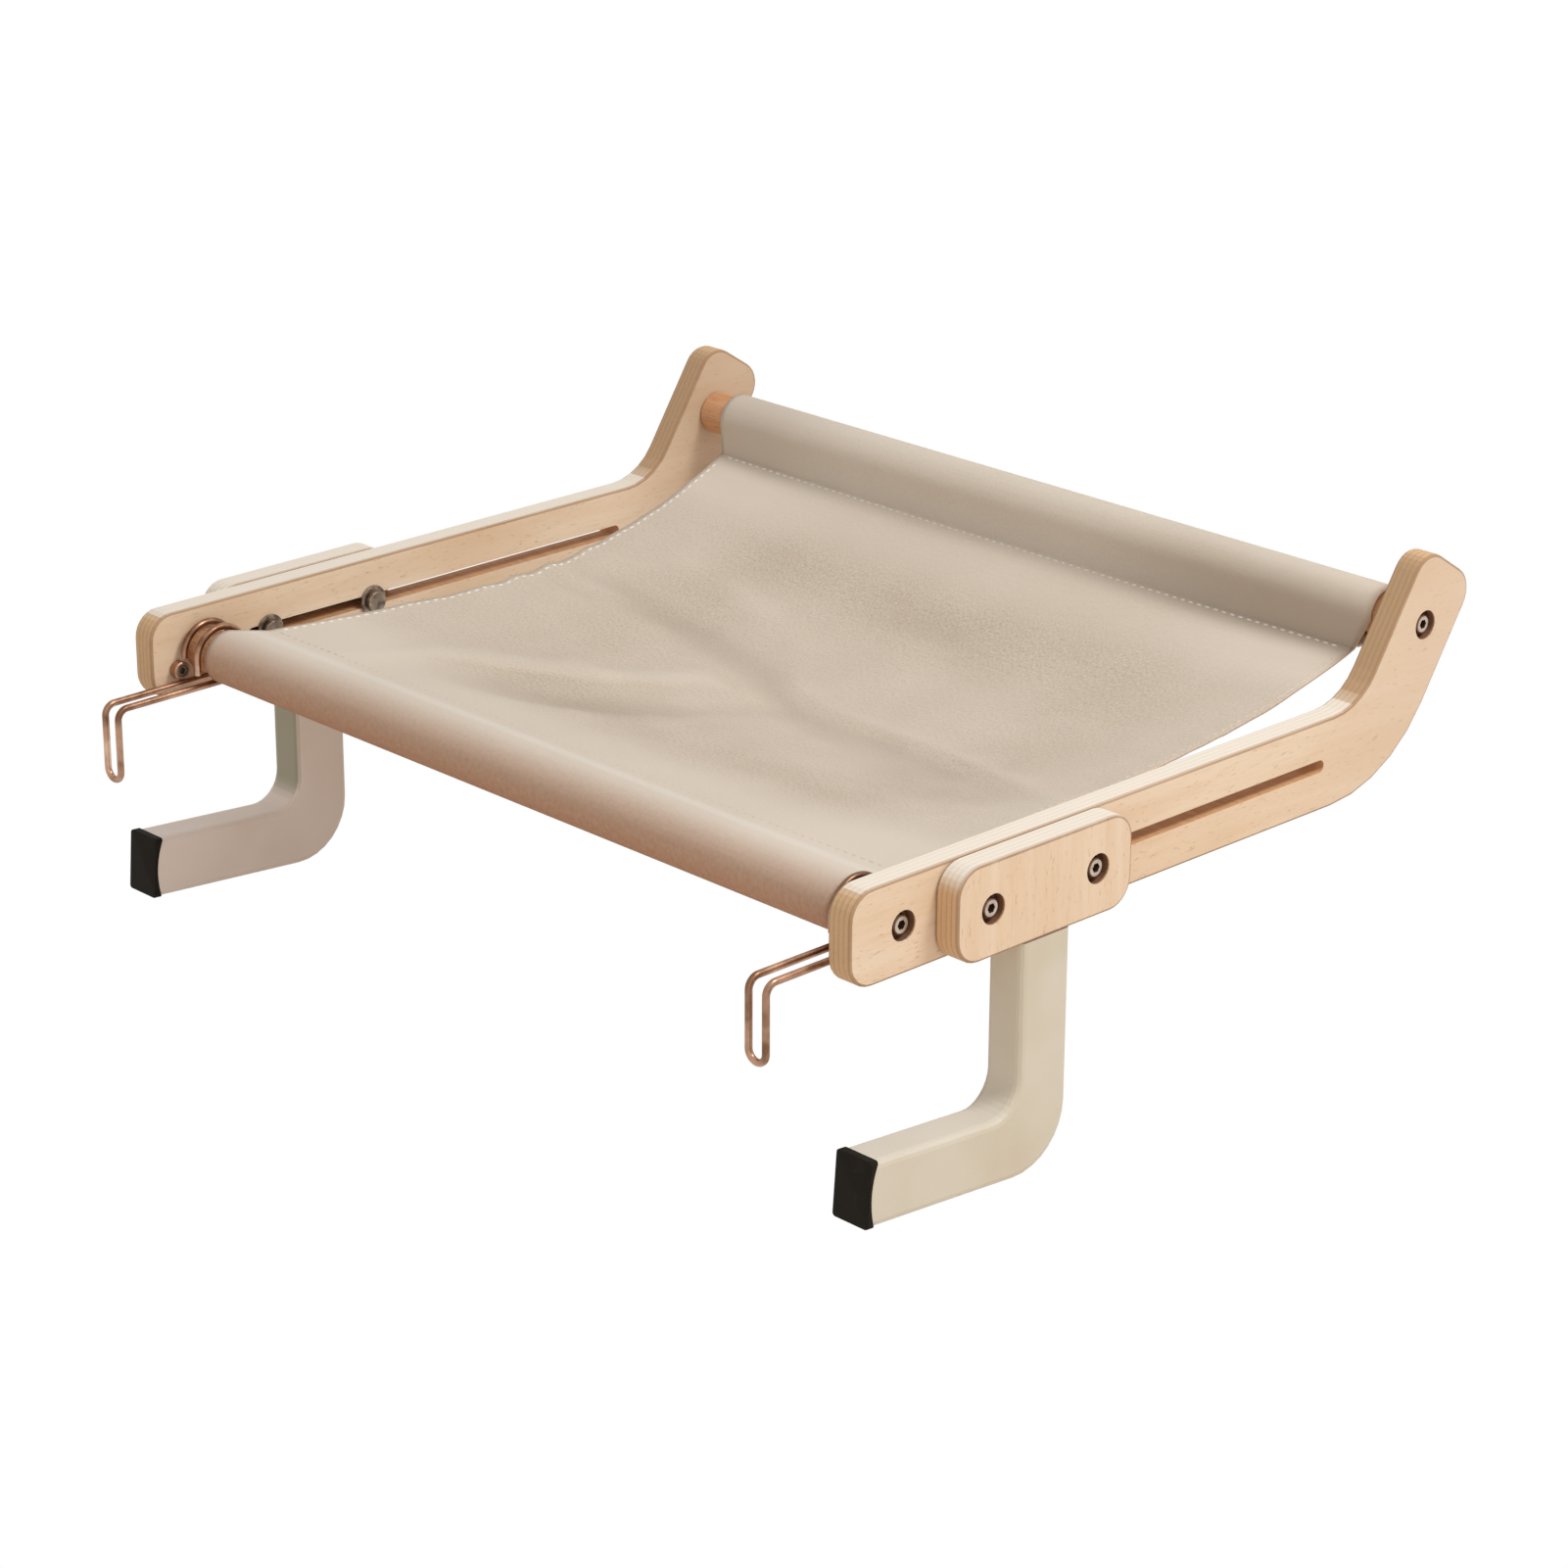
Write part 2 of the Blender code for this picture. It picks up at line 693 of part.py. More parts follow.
def loop_point(share):
    # A point of the wire's loop, from above the lock, over the dowel and down to the arm
    start = math.pi
    stop = -math.pi / 2
    angle = start + (stop - start) * share
    gap = hook_loop_front + (hook_loop_back - hook_loop_front) * share
    radius = dowel_radius + gap + wire_radius
    return radius * math.cos(angle), radius * math.sin(angle)


def hook_route(side):
    # The wire's line from the inner end, round the tail's tip, to the end at the lock
    half = wire_pitch / 2
    start_y = loop_point(0)[0]
    barrel = lock_barrel_diameter / 2 + seat_gap + wire_radius
    lean = start_y + lock_forward
    lock_end = -lock_drop + math.sqrt(barrel ** 2 - lean ** 2)
    loop = [(half, *loop_point(step / hook_loop_steps)) for step in range(hook_loop_steps + 1)]
    bend = hook_corner_radius
    run = []
    for step in range(hook_corner_steps + 1):
        angle = math.pi / 2 * (1 + step / hook_corner_steps)
        run.append((half, -hook_arm_reach + bend + bend * math.cos(angle),
                    -hook_arm_drop - bend + bend * math.sin(angle)))
    turn_z = hook_tail_tip_z + wire_radius + half
    for step in range(hook_corner_steps):
        angle = math.pi / 2 * step / hook_corner_steps
        run.append((half * math.cos(angle), -hook_arm_reach, turn_z - half * math.sin(angle)))
    tip = (0, -hook_arm_reach, turn_z - half)
    way = loop + run
    mirrored = [(-x, y, z) for x, y, z in reversed(way)]
    ends = {side: (side * half, start_y, lock_end), -side: (-side * half, start_y, wire_end_z)}
    return [ends[1]] + way + [tip] + mirrored + [ends[-1]]


def hook_wire_mesh(name, side):
    curve = bpy.data.curves.new(name, "CURVE")
    curve.dimensions = "3D"
    curve.bevel_depth = wire_radius
    curve.bevel_resolution = wire_roundness
    curve.use_fill_caps = True
    route = hook_route(side)
    spline = curve.splines.new("POLY")
    spline.points.add(len(route) - 1)
    for point, place in zip(spline.points, route):
        point.co = (*place, 1)
    mesh = finished_mesh(add_object(name, curve, bpy.context.scene.collection), name)
    shape = bmesh.new()
    shape.from_mesh(mesh)
    bmesh.ops.remove_doubles(shape, verts=shape.verts, dist=weld_distance)
    shape.to_mesh(mesh)
    shape.free()
    return mesh


def make_hook(side, label, parts, bronze, dark):
    carrier = add_empty("hook_" + label, parts, (side * hook_middle_x, 0, 0))
    mesh = hook_wire_mesh("hook_wire_" + label, side)
    mesh.materials.append(bronze)
    add_object("hook_wire_" + label, mesh, parts, carrier)

    outer = lock_barrel_diameter / 2
    bore = lock_screw_diameter / 2 + running_gap
    chamfer = lock_barrel_chamfer
    profile = [
        (bore, 0),
        (outer - chamfer, 0),
        (outer, -chamfer),
        (outer, -lock_barrel_length + chamfer),
        (outer - chamfer, -lock_barrel_length),
        (bore, -lock_barrel_length),
        (bore, 0),
    ]
    lock_at = (-lock_forward, -lock_drop)
    inner_face = hook_middle_inset - seat_gap - lock_barrel_length
    mesh = turned_mesh("hook_lock_barrel_" + label, profile)
    mesh.materials.append(dark)
    add_object("hook_lock_barrel_" + label, mesh, parts, carrier,
               (side * inner_face, *lock_at), outward(-side))

    shank = lock_screw_diameter / 2
    profile = [
        (0, 0),
        (shank, 0),
        (shank, -lock_screw_length + chamfer),
        (shank - chamfer, -lock_screw_length),
        (0, -lock_screw_length),
    ]
    mesh = socketed("hook_lock_screw_" + label, profile, lock_hex_across_flats, lock_hex_depth)
    mesh.materials.append(dark)
    add_object("hook_lock_screw_" + label, mesh, parts, carrier,
               (side * (inner_face + lock_screw_inset), *lock_at), outward(-side))


# Sling

def sleeve_arc(centre, seam, turn):
    # Cloth round a dowel from the sheet's tangent point on, the way that turn says
    radius = dowel_radius + sleeve_slack + cloth_thickness / 2
    reach = seam - centre
    facing = math.atan2(reach.y, reach.x)
    spread = math.acos(radius / reach.length)
    sweep = 2 * math.pi - 2 * spread
    points = []
    for step in range(sleeve_arc_steps + 1):
        angle = facing + turn * (spread + sweep * step / sleeve_arc_steps)
        points.append(centre + Vector((math.cos(angle), math.sin(angle))) * radius)
    return points


def waist_inset(along):
    return sling_waist * math.sin(math.pi * along)


def nearest_on_path(place, corners):
    # Distance from a place to a line of points, and how far along the line its nearest point lies
    best = None
    for index, (start, end) in enumerate(zip(corners, corners[1:])):
        run = end - start
        share = min(max((place - start).dot(run) / run.length_squared, 0), 1)
        distance = (place - start - run * share).length
        if best is None or distance < best[0]:
            best = (distance, (index + share) / (len(corners) - 1))
    return best


def fold_height(across, along):
    # Soft ridges and hollows that run over the sheet
    place = Vector((across * (sling_width - 2 * waist_inset(along)), along * sheet_run))
    total = 0
    for path, height, half_width in zip(fold_path_shares, fold_heights, fold_half_widths):
        corners = [Vector((u * sling_width, v * sheet_run)) for u, v in path]
        distance, share = nearest_on_path(place, corners)
        rise = math.sin(math.pi * share) ** fold_rise_power
        total += height * rise * math.exp(-(distance / half_width) ** 2)
    return total * math.sin(math.pi * along) ** fold_rise_power


def sheet_height(across, along):
    # Height of the sheet: a side edge's curve, the sag between the edges, and the folds
    t = along
    edge = (front_seam_z * (1 + 2 * t) * (1 - t) ** 2 + front_slope * sheet_run * t * (1 - t) ** 2
            + rear_seam_z * t * t * (3 - 2 * t) + rear_slope * sheet_run * t * t * (t - 1))
    belly = math.sin(math.pi * t) ** sag_length_power * (1 - (2 * abs(across)) ** sag_width_power)
    return edge - sling_sag * belly + fold_height(across, along)


def sling_section(across):
    # One section of the cloth: rear sleeve, sheet, front sleeve
    front = Vector((0, 0))
    rear = Vector((rear_dowel_y, rear_dowel_z))
    front_seam = Vector((front_seam_y, front_seam_z))
    rear_seam = Vector((rear_seam_y, rear_seam_z))
    layer = cloth_thickness + seat_gap
    rear_loop = sleeve_arc(rear, rear_seam, -1)
    front_loop = sleeve_arc(front, front_seam, 1)
    rear_end = rear_seam + (rear - rear_seam).normalized() * layer + Vector((layer, -layer / 2))
    front_end = front_seam - (front_seam - front).normalized() * layer + Vector((0, -layer))
    points = [(rear_end, 0)]
    points += [(point, 0) for point in reversed(rear_loop)]
    for row in range(sheet_rows):
        t = 1 - row / (sheet_rows - 1)
        y = front_seam_y + sheet_run * t
        points.append((Vector((y, sheet_height(across, t))), waist_inset(t)))
    points += [(point, 0) for point in front_loop]
    points.append((front_end, 0))
    return points


def make_sling(parts, material):
    shape = bmesh.new()
    columns = []
    for column in range(sling_columns):
        share = column / (sling_columns - 1)
        across = share - column_crowding * math.sin(math.pi * share) / math.pi - 1 / 2
        row = []
        for point, waist in sling_section(across):
            x = across * (sling_width - 2 * waist)
            row.append(shape.verts.new((x, point.x, point.y)))
        columns.append(row)
    for left, right in zip(columns, columns[1:]):
        edges_left = [shape.edges.get(pair) or shape.edges.new(pair) for pair in zip(left, left[1:])]
        edges_right = [shape.edges.get(pair) or shape.edges.new(pair) for pair in zip(right, right[1:])]
        bmesh.ops.bridge_loops(shape, edges=edges_left + edges_right)
    bmesh.ops.recalc_face_normals(shape, faces=shape.faces)
    mesh = bpy.data.meshes.new("sling")
    shape.to_mesh(mesh)
    shape.free()
    smooth(mesh, cloth_smooth_angle)
    mesh.materials.append(material)
    sling = add_object("sling", mesh, parts)
    cloth = sling.modifiers.new("cloth", "SOLIDIFY")
    cloth.thickness = cloth_thickness
    cloth.offset = 0
    cloth.use_even_offset = True


def main():
    clear_scene()
    parts = make_collection("cat_window_perch")
    cutters = make_collection("cutters")
    ply = make_material("birch_ply", (0.78, 0.58, 0.40), 0.55)
    dowel_wood = make_material("dowel_wood", (0.36, 0.16, 0.08), 0.55)
    canvas = make_material("canvas", (0.58, 0.49, 0.38), 0.9)
    paint = make_material("cream_paint", (0.66, 0.57, 0.44), 0.45)
    rubber = make_material("black_rubber", (0.012, 0.012, 0.013), 0.6)
    steel = make_material("bolt_steel", (0.62, 0.60, 0.57), 0.3, 1.0)
    bronze = make_material("dark_bronze", (0.13, 0.09, 0.06), 0.4, 1.0)
    copper = make_material("hook_bronze", (0.42, 0.20, 0.10), 0.3, 1.0)
    plate_steel = make_material("plate_steel", (0.45, 0.45, 0.46), 0.4, 1.0)

    make_dowels(parts, cutters, dowel_wood, steel, bronze)
    fasteners = clamp_fasteners(steel, bronze)
    materials = {"ply": ply, "steel": plate_steel, "paint": paint, "rubber": rubber}
    for side, label in ((-1, "left"), (1, "right")):
        make_panel(side, label, parts, cutters, ply)
        make_clamp(side, label, parts, cutters, materials, fasteners)
        make_hook(side, label, parts, copper, bronze)
    make_sling(parts, canvas)


main()
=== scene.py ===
import math

import bmesh
import bpy
from mathutils import Matrix, Vector, noise


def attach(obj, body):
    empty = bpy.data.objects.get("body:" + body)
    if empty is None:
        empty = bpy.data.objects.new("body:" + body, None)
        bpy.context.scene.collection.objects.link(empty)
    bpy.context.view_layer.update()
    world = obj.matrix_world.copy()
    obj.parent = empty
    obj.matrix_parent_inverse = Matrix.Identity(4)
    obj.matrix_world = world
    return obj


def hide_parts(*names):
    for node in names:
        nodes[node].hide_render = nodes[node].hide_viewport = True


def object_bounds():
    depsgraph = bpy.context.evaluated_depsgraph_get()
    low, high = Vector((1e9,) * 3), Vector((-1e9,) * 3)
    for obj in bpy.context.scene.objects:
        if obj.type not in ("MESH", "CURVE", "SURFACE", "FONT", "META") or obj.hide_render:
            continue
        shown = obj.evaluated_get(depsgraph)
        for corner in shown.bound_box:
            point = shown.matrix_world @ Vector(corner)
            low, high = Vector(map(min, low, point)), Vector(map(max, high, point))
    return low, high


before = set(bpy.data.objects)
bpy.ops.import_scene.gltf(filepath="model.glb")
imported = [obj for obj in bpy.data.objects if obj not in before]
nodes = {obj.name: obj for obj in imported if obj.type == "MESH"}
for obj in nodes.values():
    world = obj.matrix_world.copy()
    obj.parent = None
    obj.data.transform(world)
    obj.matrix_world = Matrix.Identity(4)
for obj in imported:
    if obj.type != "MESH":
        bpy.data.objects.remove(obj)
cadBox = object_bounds()
sides = ((-1, "left"), (1, "right"))
ends = ("front", "rear")
quarter = math.pi / 2
print("frame loaded,", len(nodes), "nodes")


# Shader sums: a Wire is one socket of a material's nodes

# sockets whose names come twice on their node, by number
mixSocket = {"share": 0, "under": 6, "over": 7, "result": 2}


class Wire:
    def __init__(self, tree, socket):
        self.tree = tree
        self.socket = socket

    def make(self, kind, settings=None, inputs=None, out=0):
        made = self.tree.nodes.new(kind)
        for name, value in (settings or {}).items():
            setattr(made, name, value)
        for name, value in (inputs or {}).items():
            if isinstance(value, Wire):
                self.tree.links.new(value.socket, made.inputs[name])
            else:
                made.inputs[name].default_value = value
        return Wire(self.tree, made.outputs[out])

    def calc(self, operation, *values):
        return self.make("ShaderNodeMath", {"operation": operation}, dict(enumerate(values)))

    def __add__(self, other):
        return self.calc("ADD", self, other)

    __radd__ = __add__

    def __sub__(self, other):
        return self.calc("SUBTRACT", self, other)

    def __rsub__(self, other):
        return self.calc("SUBTRACT", other, self)

    def __mul__(self, other):
        return self.calc("MULTIPLY", self, other)

    __rmul__ = __mul__

    def __abs__(self):
        return self.calc("ABSOLUTE", self)

    def sine(self):
        return self.calc("SINE", self)

    def root(self):
        return self.calc("SQRT", self)

    def band(self, low, high):
        # 0 at low and 1 at high, smooth between; low may be the larger
        return self.make("ShaderNodeMapRange", {"interpolation_type": "SMOOTHSTEP"}, {
            "Value": self, "From Min": low, "From Max": high, "To Min": 0.0, "To Max": 1.0})

    def rise(self, low, high, until, gone):
        # up from low to high, and down again from until to gone
        return self.band(low, high) * self.band(gone, until)

    def mix(self, under, over):
        # the second colour laid over the first, with self as the share
        inputs = {mixSocket["share"]: self, mixSocket["under"]: under, mixSocket["over"]: over}
        settings = {"data_type": "RGBA", "clamp_factor": True}
        return self.make("ShaderNodeMix", settings, inputs, mixSocket["result"])

    def axes(self, letters="XYZ"):
        split = self.make("ShaderNodeSeparateXYZ", None, {"Vector": self})
        return [Wire(self.tree, split.socket.node.outputs[letter]) for letter in letters]

    def stretched(self, scale, turn=(0.0, 0.0, 0.0)):
        return self.make("ShaderNodeMapping", None, {"Vector": self, "Scale": scale, "Rotation": turn})

    def noise(self, scale, detail=2.0, roughness=0.5, distortion=0.0):
        return self.make("ShaderNodeTexNoise", None, {
            "Vector": self, "Scale": scale, "Detail": detail, "Roughness": roughness,
            "Distortion": distortion})


# how a screen's colour values turn into light
screen = {"top": 255, "knee": 0.04045, "slope": 12.92, "lift": 0.055, "power": 2.4}


def shade(red, green, blue):
    # a screen colour, 0 to 255, as linear RGBA
    def linear(value):
        value = value / screen["top"]
        if value <= screen["knee"]:
            return value / screen["slope"]
        return ((value + screen["lift"]) / (1 + screen["lift"])) ** screen["power"]
    return (linear(red), linear(green), linear(blue), 1.0)


def startMaterial(name):
    # the material, and what its nodes read of a point: its place, its facing, its flat sheet measure
    material = bpy.data.materials.new(name)
    material.use_nodes = True
    tree = material.node_tree
    outputs = tree.nodes.new("ShaderNodeTexCoord").outputs
    return material, {kind: Wire(tree, outputs[kind]) for kind in ("Object", "Normal", "UV")}


def addPatterns(place, rows, stretch):
    # rows give a noise's scale, detail, roughness and distortion
    made = {}
    for name, row in rows.items():
        made[name] = (place.stretched(*stretch[name]) if name in stretch else place).noise(*row)
    return made


def layered(colour, wires, rows, colours):
    # rows give a pattern, where it starts and is full, the layer's greatest share, and its colour
    for pattern, low, high, share, tint in rows:
        cover = wires[pattern].band(low, high)
        colour = (cover if share == 1 else cover * share).mix(colour, colours[tint])
    return colour


def weighed(wires, shares):
    parts = [wires[name] if share == 1 else wires[name] * share
             for name, share in shares.items() if name != "base"]
    total = parts[0] + shares["base"] if "base" in shares else parts[0]
    for part in parts[1:]:
        total = total + part
    return total


def finishMaterial(material, colour, wires, settings):
    # rough and height weigh the patterns; bump is depth in metres and strength
    height = weighed(wires, settings["height"])
    depth, strength = settings["bump"]
    bump = height.make("ShaderNodeBump", None, {"Strength": strength, "Distance": depth, "Height": height})
    roughness = weighed(wires, settings["rough"])
    inputs = material.node_tree.nodes["Principled BSDF"].inputs
    for name, wire in (("Base Color", colour), ("Roughness", roughness), ("Normal", bump)):
        material.node_tree.links.new(wire.socket, inputs[name])
    for name, value in settings["fixed"].items():
        inputs[name].default_value = value
    return material


def plainMaterial(name, base, settings, colours):
    # all its layers lie on one base colour
    material, point = startMaterial(name)
    wires = addPatterns(point["Object"], settings["patterns"], settings["stretch"])
    return finishMaterial(material, layered(base, wires, settings["layers"], colours), wires, settings)


# Birch plywood

birch = {
    "face": shade(231, 203, 172),
    "faceWarm": shade(222, 188, 150),
    "facePale": shade(238, 215, 189),
    # the top edges take a paler copy of the edge colour: painted light from above
    "litTopEdge": shade(240, 229, 215),
    "litTopEdgeLine": shade(228, 208, 184),
    "endEdge": shade(216, 179, 138),
    "endEdgeDark": shade(180, 136, 95),
    # painted shade: the panels' rear arms darker than their fronts, the left one most
    "rightArmShade": shade(220, 195, 170),
    "leftArmShade": shade(176, 144, 112),
    "rimTint": shade(146, 104, 70),
    # painted shade on the edges that face forward toward the rear
    "hollowEdgeShade": shade(168, 136, 104),
    "slotWall": shade(222, 178, 134),
    "slotDark": shade(184, 136, 94),
    # painted shade inside the counterbores
    "sinkWallShade": shade(132, 94, 70),
    "plies": 9,
    "thickness": 0.012,
    "panelInner": 0.215,
    "blockInner": 0.2273,
    "panelSinks": ((0, 0), (0.315, 0.047)),
    "blockSinks": ((0.037, 0), (0.097, 0)),
    # height on the block where the painted light on its top edges starts and is full
    "blockLitTop": (0.0095, 0.0190),
    "patterns": {
        "figure": (55.0, 4.0, 0.6, 0.9),
        "fine": (520.0, 3.0, 0.65),
        "clouds": (11.0, 2.0, 0.5),
        "fleck": (900.0, 2.0, 0.7),
        "wander": (60.0, 1.0),
        "endGrain": (1300.0, 3.0, 0.7),
        "marks": (420.0, 2.0, 0.5),
    },
    "alongGrain": {"figure": 0.075, "fine": 0.075, "fleck": 0.22},
    "stretch": {"endGrain": ((1.0, 1.0, 0.5),), "marks": ((0.2, 1.0, 0.2),)},
    "faceLayers": (
        ("figure", 0.32, 0.72, 1, "face"),
        ("clouds", 0.42, 0.78, 0.55, "faceWarm"),
        ("fine", 0.50, 0.78, 0.46, "faceWarm"),
        ("fleck", 0.58, 0.76, 0.48, "endEdgeDark"),
    ),
    "endLayers": (("ply", 0.30, 0.95, 0.45, "endEdgeDark"), ("endGrain", 0.45, 0.75, 0.26, "endEdgeDark")),
    "litTopLayers": (("ply", 0.30, 0.95, 0.45, "litTopEdgeLine"), ("endGrain", 0.50, 0.78, 0.22, "litTopEdgeLine")),
    "plyWander": 0.9,
    "plyShift": 0.45,
    "faceTurn": (0.80, 0.97),
    # facing and height where the painted light on the panels' top edges starts and is full
    "litTopTurn": (0.80, 0.985),
    "litTopFade": (0.028, 0.0215),
    # where the painted shade on the rear arms lies
    "rightArmSpan": (0.20, 0.33),
    "rightBlend": (-0.1, 0.1),
    "leftArmSpan": (0.24, 0.31),
    "leftBlend": (0.0, -0.1),
    "armShadeShare": 0.5,
    # where the painted shade on the forward-facing edges lies
    "hollowTurn": (-0.15, -0.6),
    "hollowSpan": (0.20, 0.24),
    "hollowShare": 0.55,
    "rimRise": (0.25, 0.55, 0.90, 0.992),
    "rimShare": (0.50, 0.6),
    "slotHalf": 0.0029,
    "slotEnds": (0.022, 0.254),
    "slotSoft": 0.0004,
    "slotEndSoft": 0.001,
    "slotMarks": (0.30, 0.70),
    "slotShare": (0.45, 0.4),
    "sinkRadius": 0.0065,
    "sinkSoft": 0.0003,
    "sinkLip": (0.0002, 0.0012),
    "sinkFloor": (0.004, 0.006),
    "rough": {"base": 0.44, "fine": 0.16, "edge": 0.14},
    "height": {"figure": 0.4, "fine": 0.35, "fleck": 0.15, "plyEdge": 0.5},
    "bump": (0.00018, 0.55),
    "fixed": {"Specular IOR Level": 0.32},
}


def slotCover(placeY, placeZ, edge):
    # the walls of the long slot
    first, last = birch["slotEnds"]
    cover = abs(placeZ).band(birch["slotHalf"] + birch["slotSoft"], birch["slotHalf"]) * edge
    cover = cover * placeY.band(first, first + birch["slotEndSoft"])
    return cover * placeY.band(last, last - birch["slotEndSoft"])


def sinkShadeCover(placeY, placeZ, depth, innerX, centre):
    # the wall and floor of one counterbore, which take painted shade
    reachY, reachZ = placeY - centre[0], placeZ - centre[1]
    away = (reachY * reachY + reachZ * reachZ).root()
    face = innerX + birch["thickness"]
    lipStart, lipEnd = birch["sinkLip"]
    floorStart, floorEnd = birch["sinkFloor"]
    cover = away.band(birch["sinkRadius"] + birch["sinkSoft"], birch["sinkRadius"])
    cover = cover * depth.band(face - lipStart, face - lipEnd)
    return cover * depth.band(innerX + floorStart, innerX + floorEnd)


def birchMaterial(name, innerX, grainAxis, sinks, litTopBand=None):
    material, point = startMaterial(name)
    placeX, placeY, placeZ = point["Object"].axes()
    normalX, normalY, normalZ = point["Normal"].axes()
    depth = abs(placeX)
    stretch = dict(birch["stretch"])
    for pattern, share in birch["alongGrain"].items():
        stretch[pattern] = (tuple(share if axis == grainAxis else 1.0 for axis in "xyz"),)
    wires = addPatterns(point["Object"], birch["patterns"], stretch)
    onFace = abs(normalX).band(*birch["faceTurn"])
    wires["edge"] = 1 - onFace
    plies = (depth - innerX) * (math.pi * birch["plies"] / birch["thickness"])
    wires["ply"] = (plies + wires["wander"] * birch["plyWander"] - birch["plyShift"]).sine()
    wires["plyEdge"] = wires["ply"] * wires["edge"]
    face = layered(birch["facePale"], wires, birch["faceLayers"], birch)
    # painted shade on the rear arms
    rightArmShade = placeY.band(*birch["rightArmSpan"]) * birch["armShadeShare"] * placeX.band(*birch["rightBlend"])
    face = rightArmShade.mix(face, birch["rightArmShade"])
    leftArmShade = placeX.band(*birch["leftBlend"]) * placeY.band(*birch["leftArmSpan"]) * birch["armShadeShare"]
    face = leftArmShade.mix(face, birch["leftArmShade"])
    end = layered(birch["endEdge"], wires, birch["endLayers"], birch)
    # painted shade on the edges that face forward toward the rear
    hollowShade = normalY.band(*birch["hollowTurn"]) * placeY.band(*birch["hollowSpan"]) * birch["hollowShare"]
    end = hollowShade.mix(end, birch["hollowEdgeShade"])
    # painted light: edges that face up, or that lie high on the block, take the paler top-edge colour
    top = layered(birch["litTopEdge"], wires, birch["litTopLayers"], birch)
    if litTopBand:
        litTopShare = placeZ.band(*litTopBand)
    else:
        litTopShare = normalZ.band(*birch["litTopTurn"]) * placeZ.band(*birch["litTopFade"])
    colour = onFace.mix(litTopShare.mix(end, top), face)
    rimBase, rimFigure = birch["rimShare"]
    rim = abs(normalX).rise(*birch["rimRise"]) * (wires["figure"] * rimFigure + rimBase)
    colour = rim.mix(colour, birch["rimTint"])
    wallBase, wallMarks = birch["slotShare"]
    wall = wires["marks"].band(*birch["slotMarks"]) * wallMarks + wallBase
    wall = wall.mix(birch["slotDark"], birch["slotWall"])
    colour = slotCover(placeY, placeZ, wires["edge"]).mix(colour, wall)
    # painted shade inside each counterbore
    for centre in sinks:
        colour = sinkShadeCover(placeY, placeZ, depth, innerX, centre).mix(colour, birch["sinkWallShade"])
    return finishMaterial(material, colour, wires, birch)


# Dowels

dowel = {
    "wood": shade(198, 139, 96),
    "dark": shade(150, 92, 56),
    "pale": shade(216, 166, 124),
    "patterns": {"figure": (230.0, 4.0, 0.6, 0.7), "pores": (1500.0, 2.0, 0.7)},
    "stretch": {"figure": ((0.05, 1.0, 1.0),), "pores": ((0.10, 1.0, 1.0),)},
    "layers": (("figure", 0.34, 0.70, 1, "wood"), ("pores", 0.58, 0.74, 0.65, "dark")),
    "rough": {"base": 0.42, "figure": 0.2},
    "height": {"figure": 0.4, "pores": 0.6},
    "bump": (0.00016, 0.6),
    "fixed": {"Specular IOR Level": 0.35},
}


# Canvas: its patterns read the sheet's own flat measure, in metres

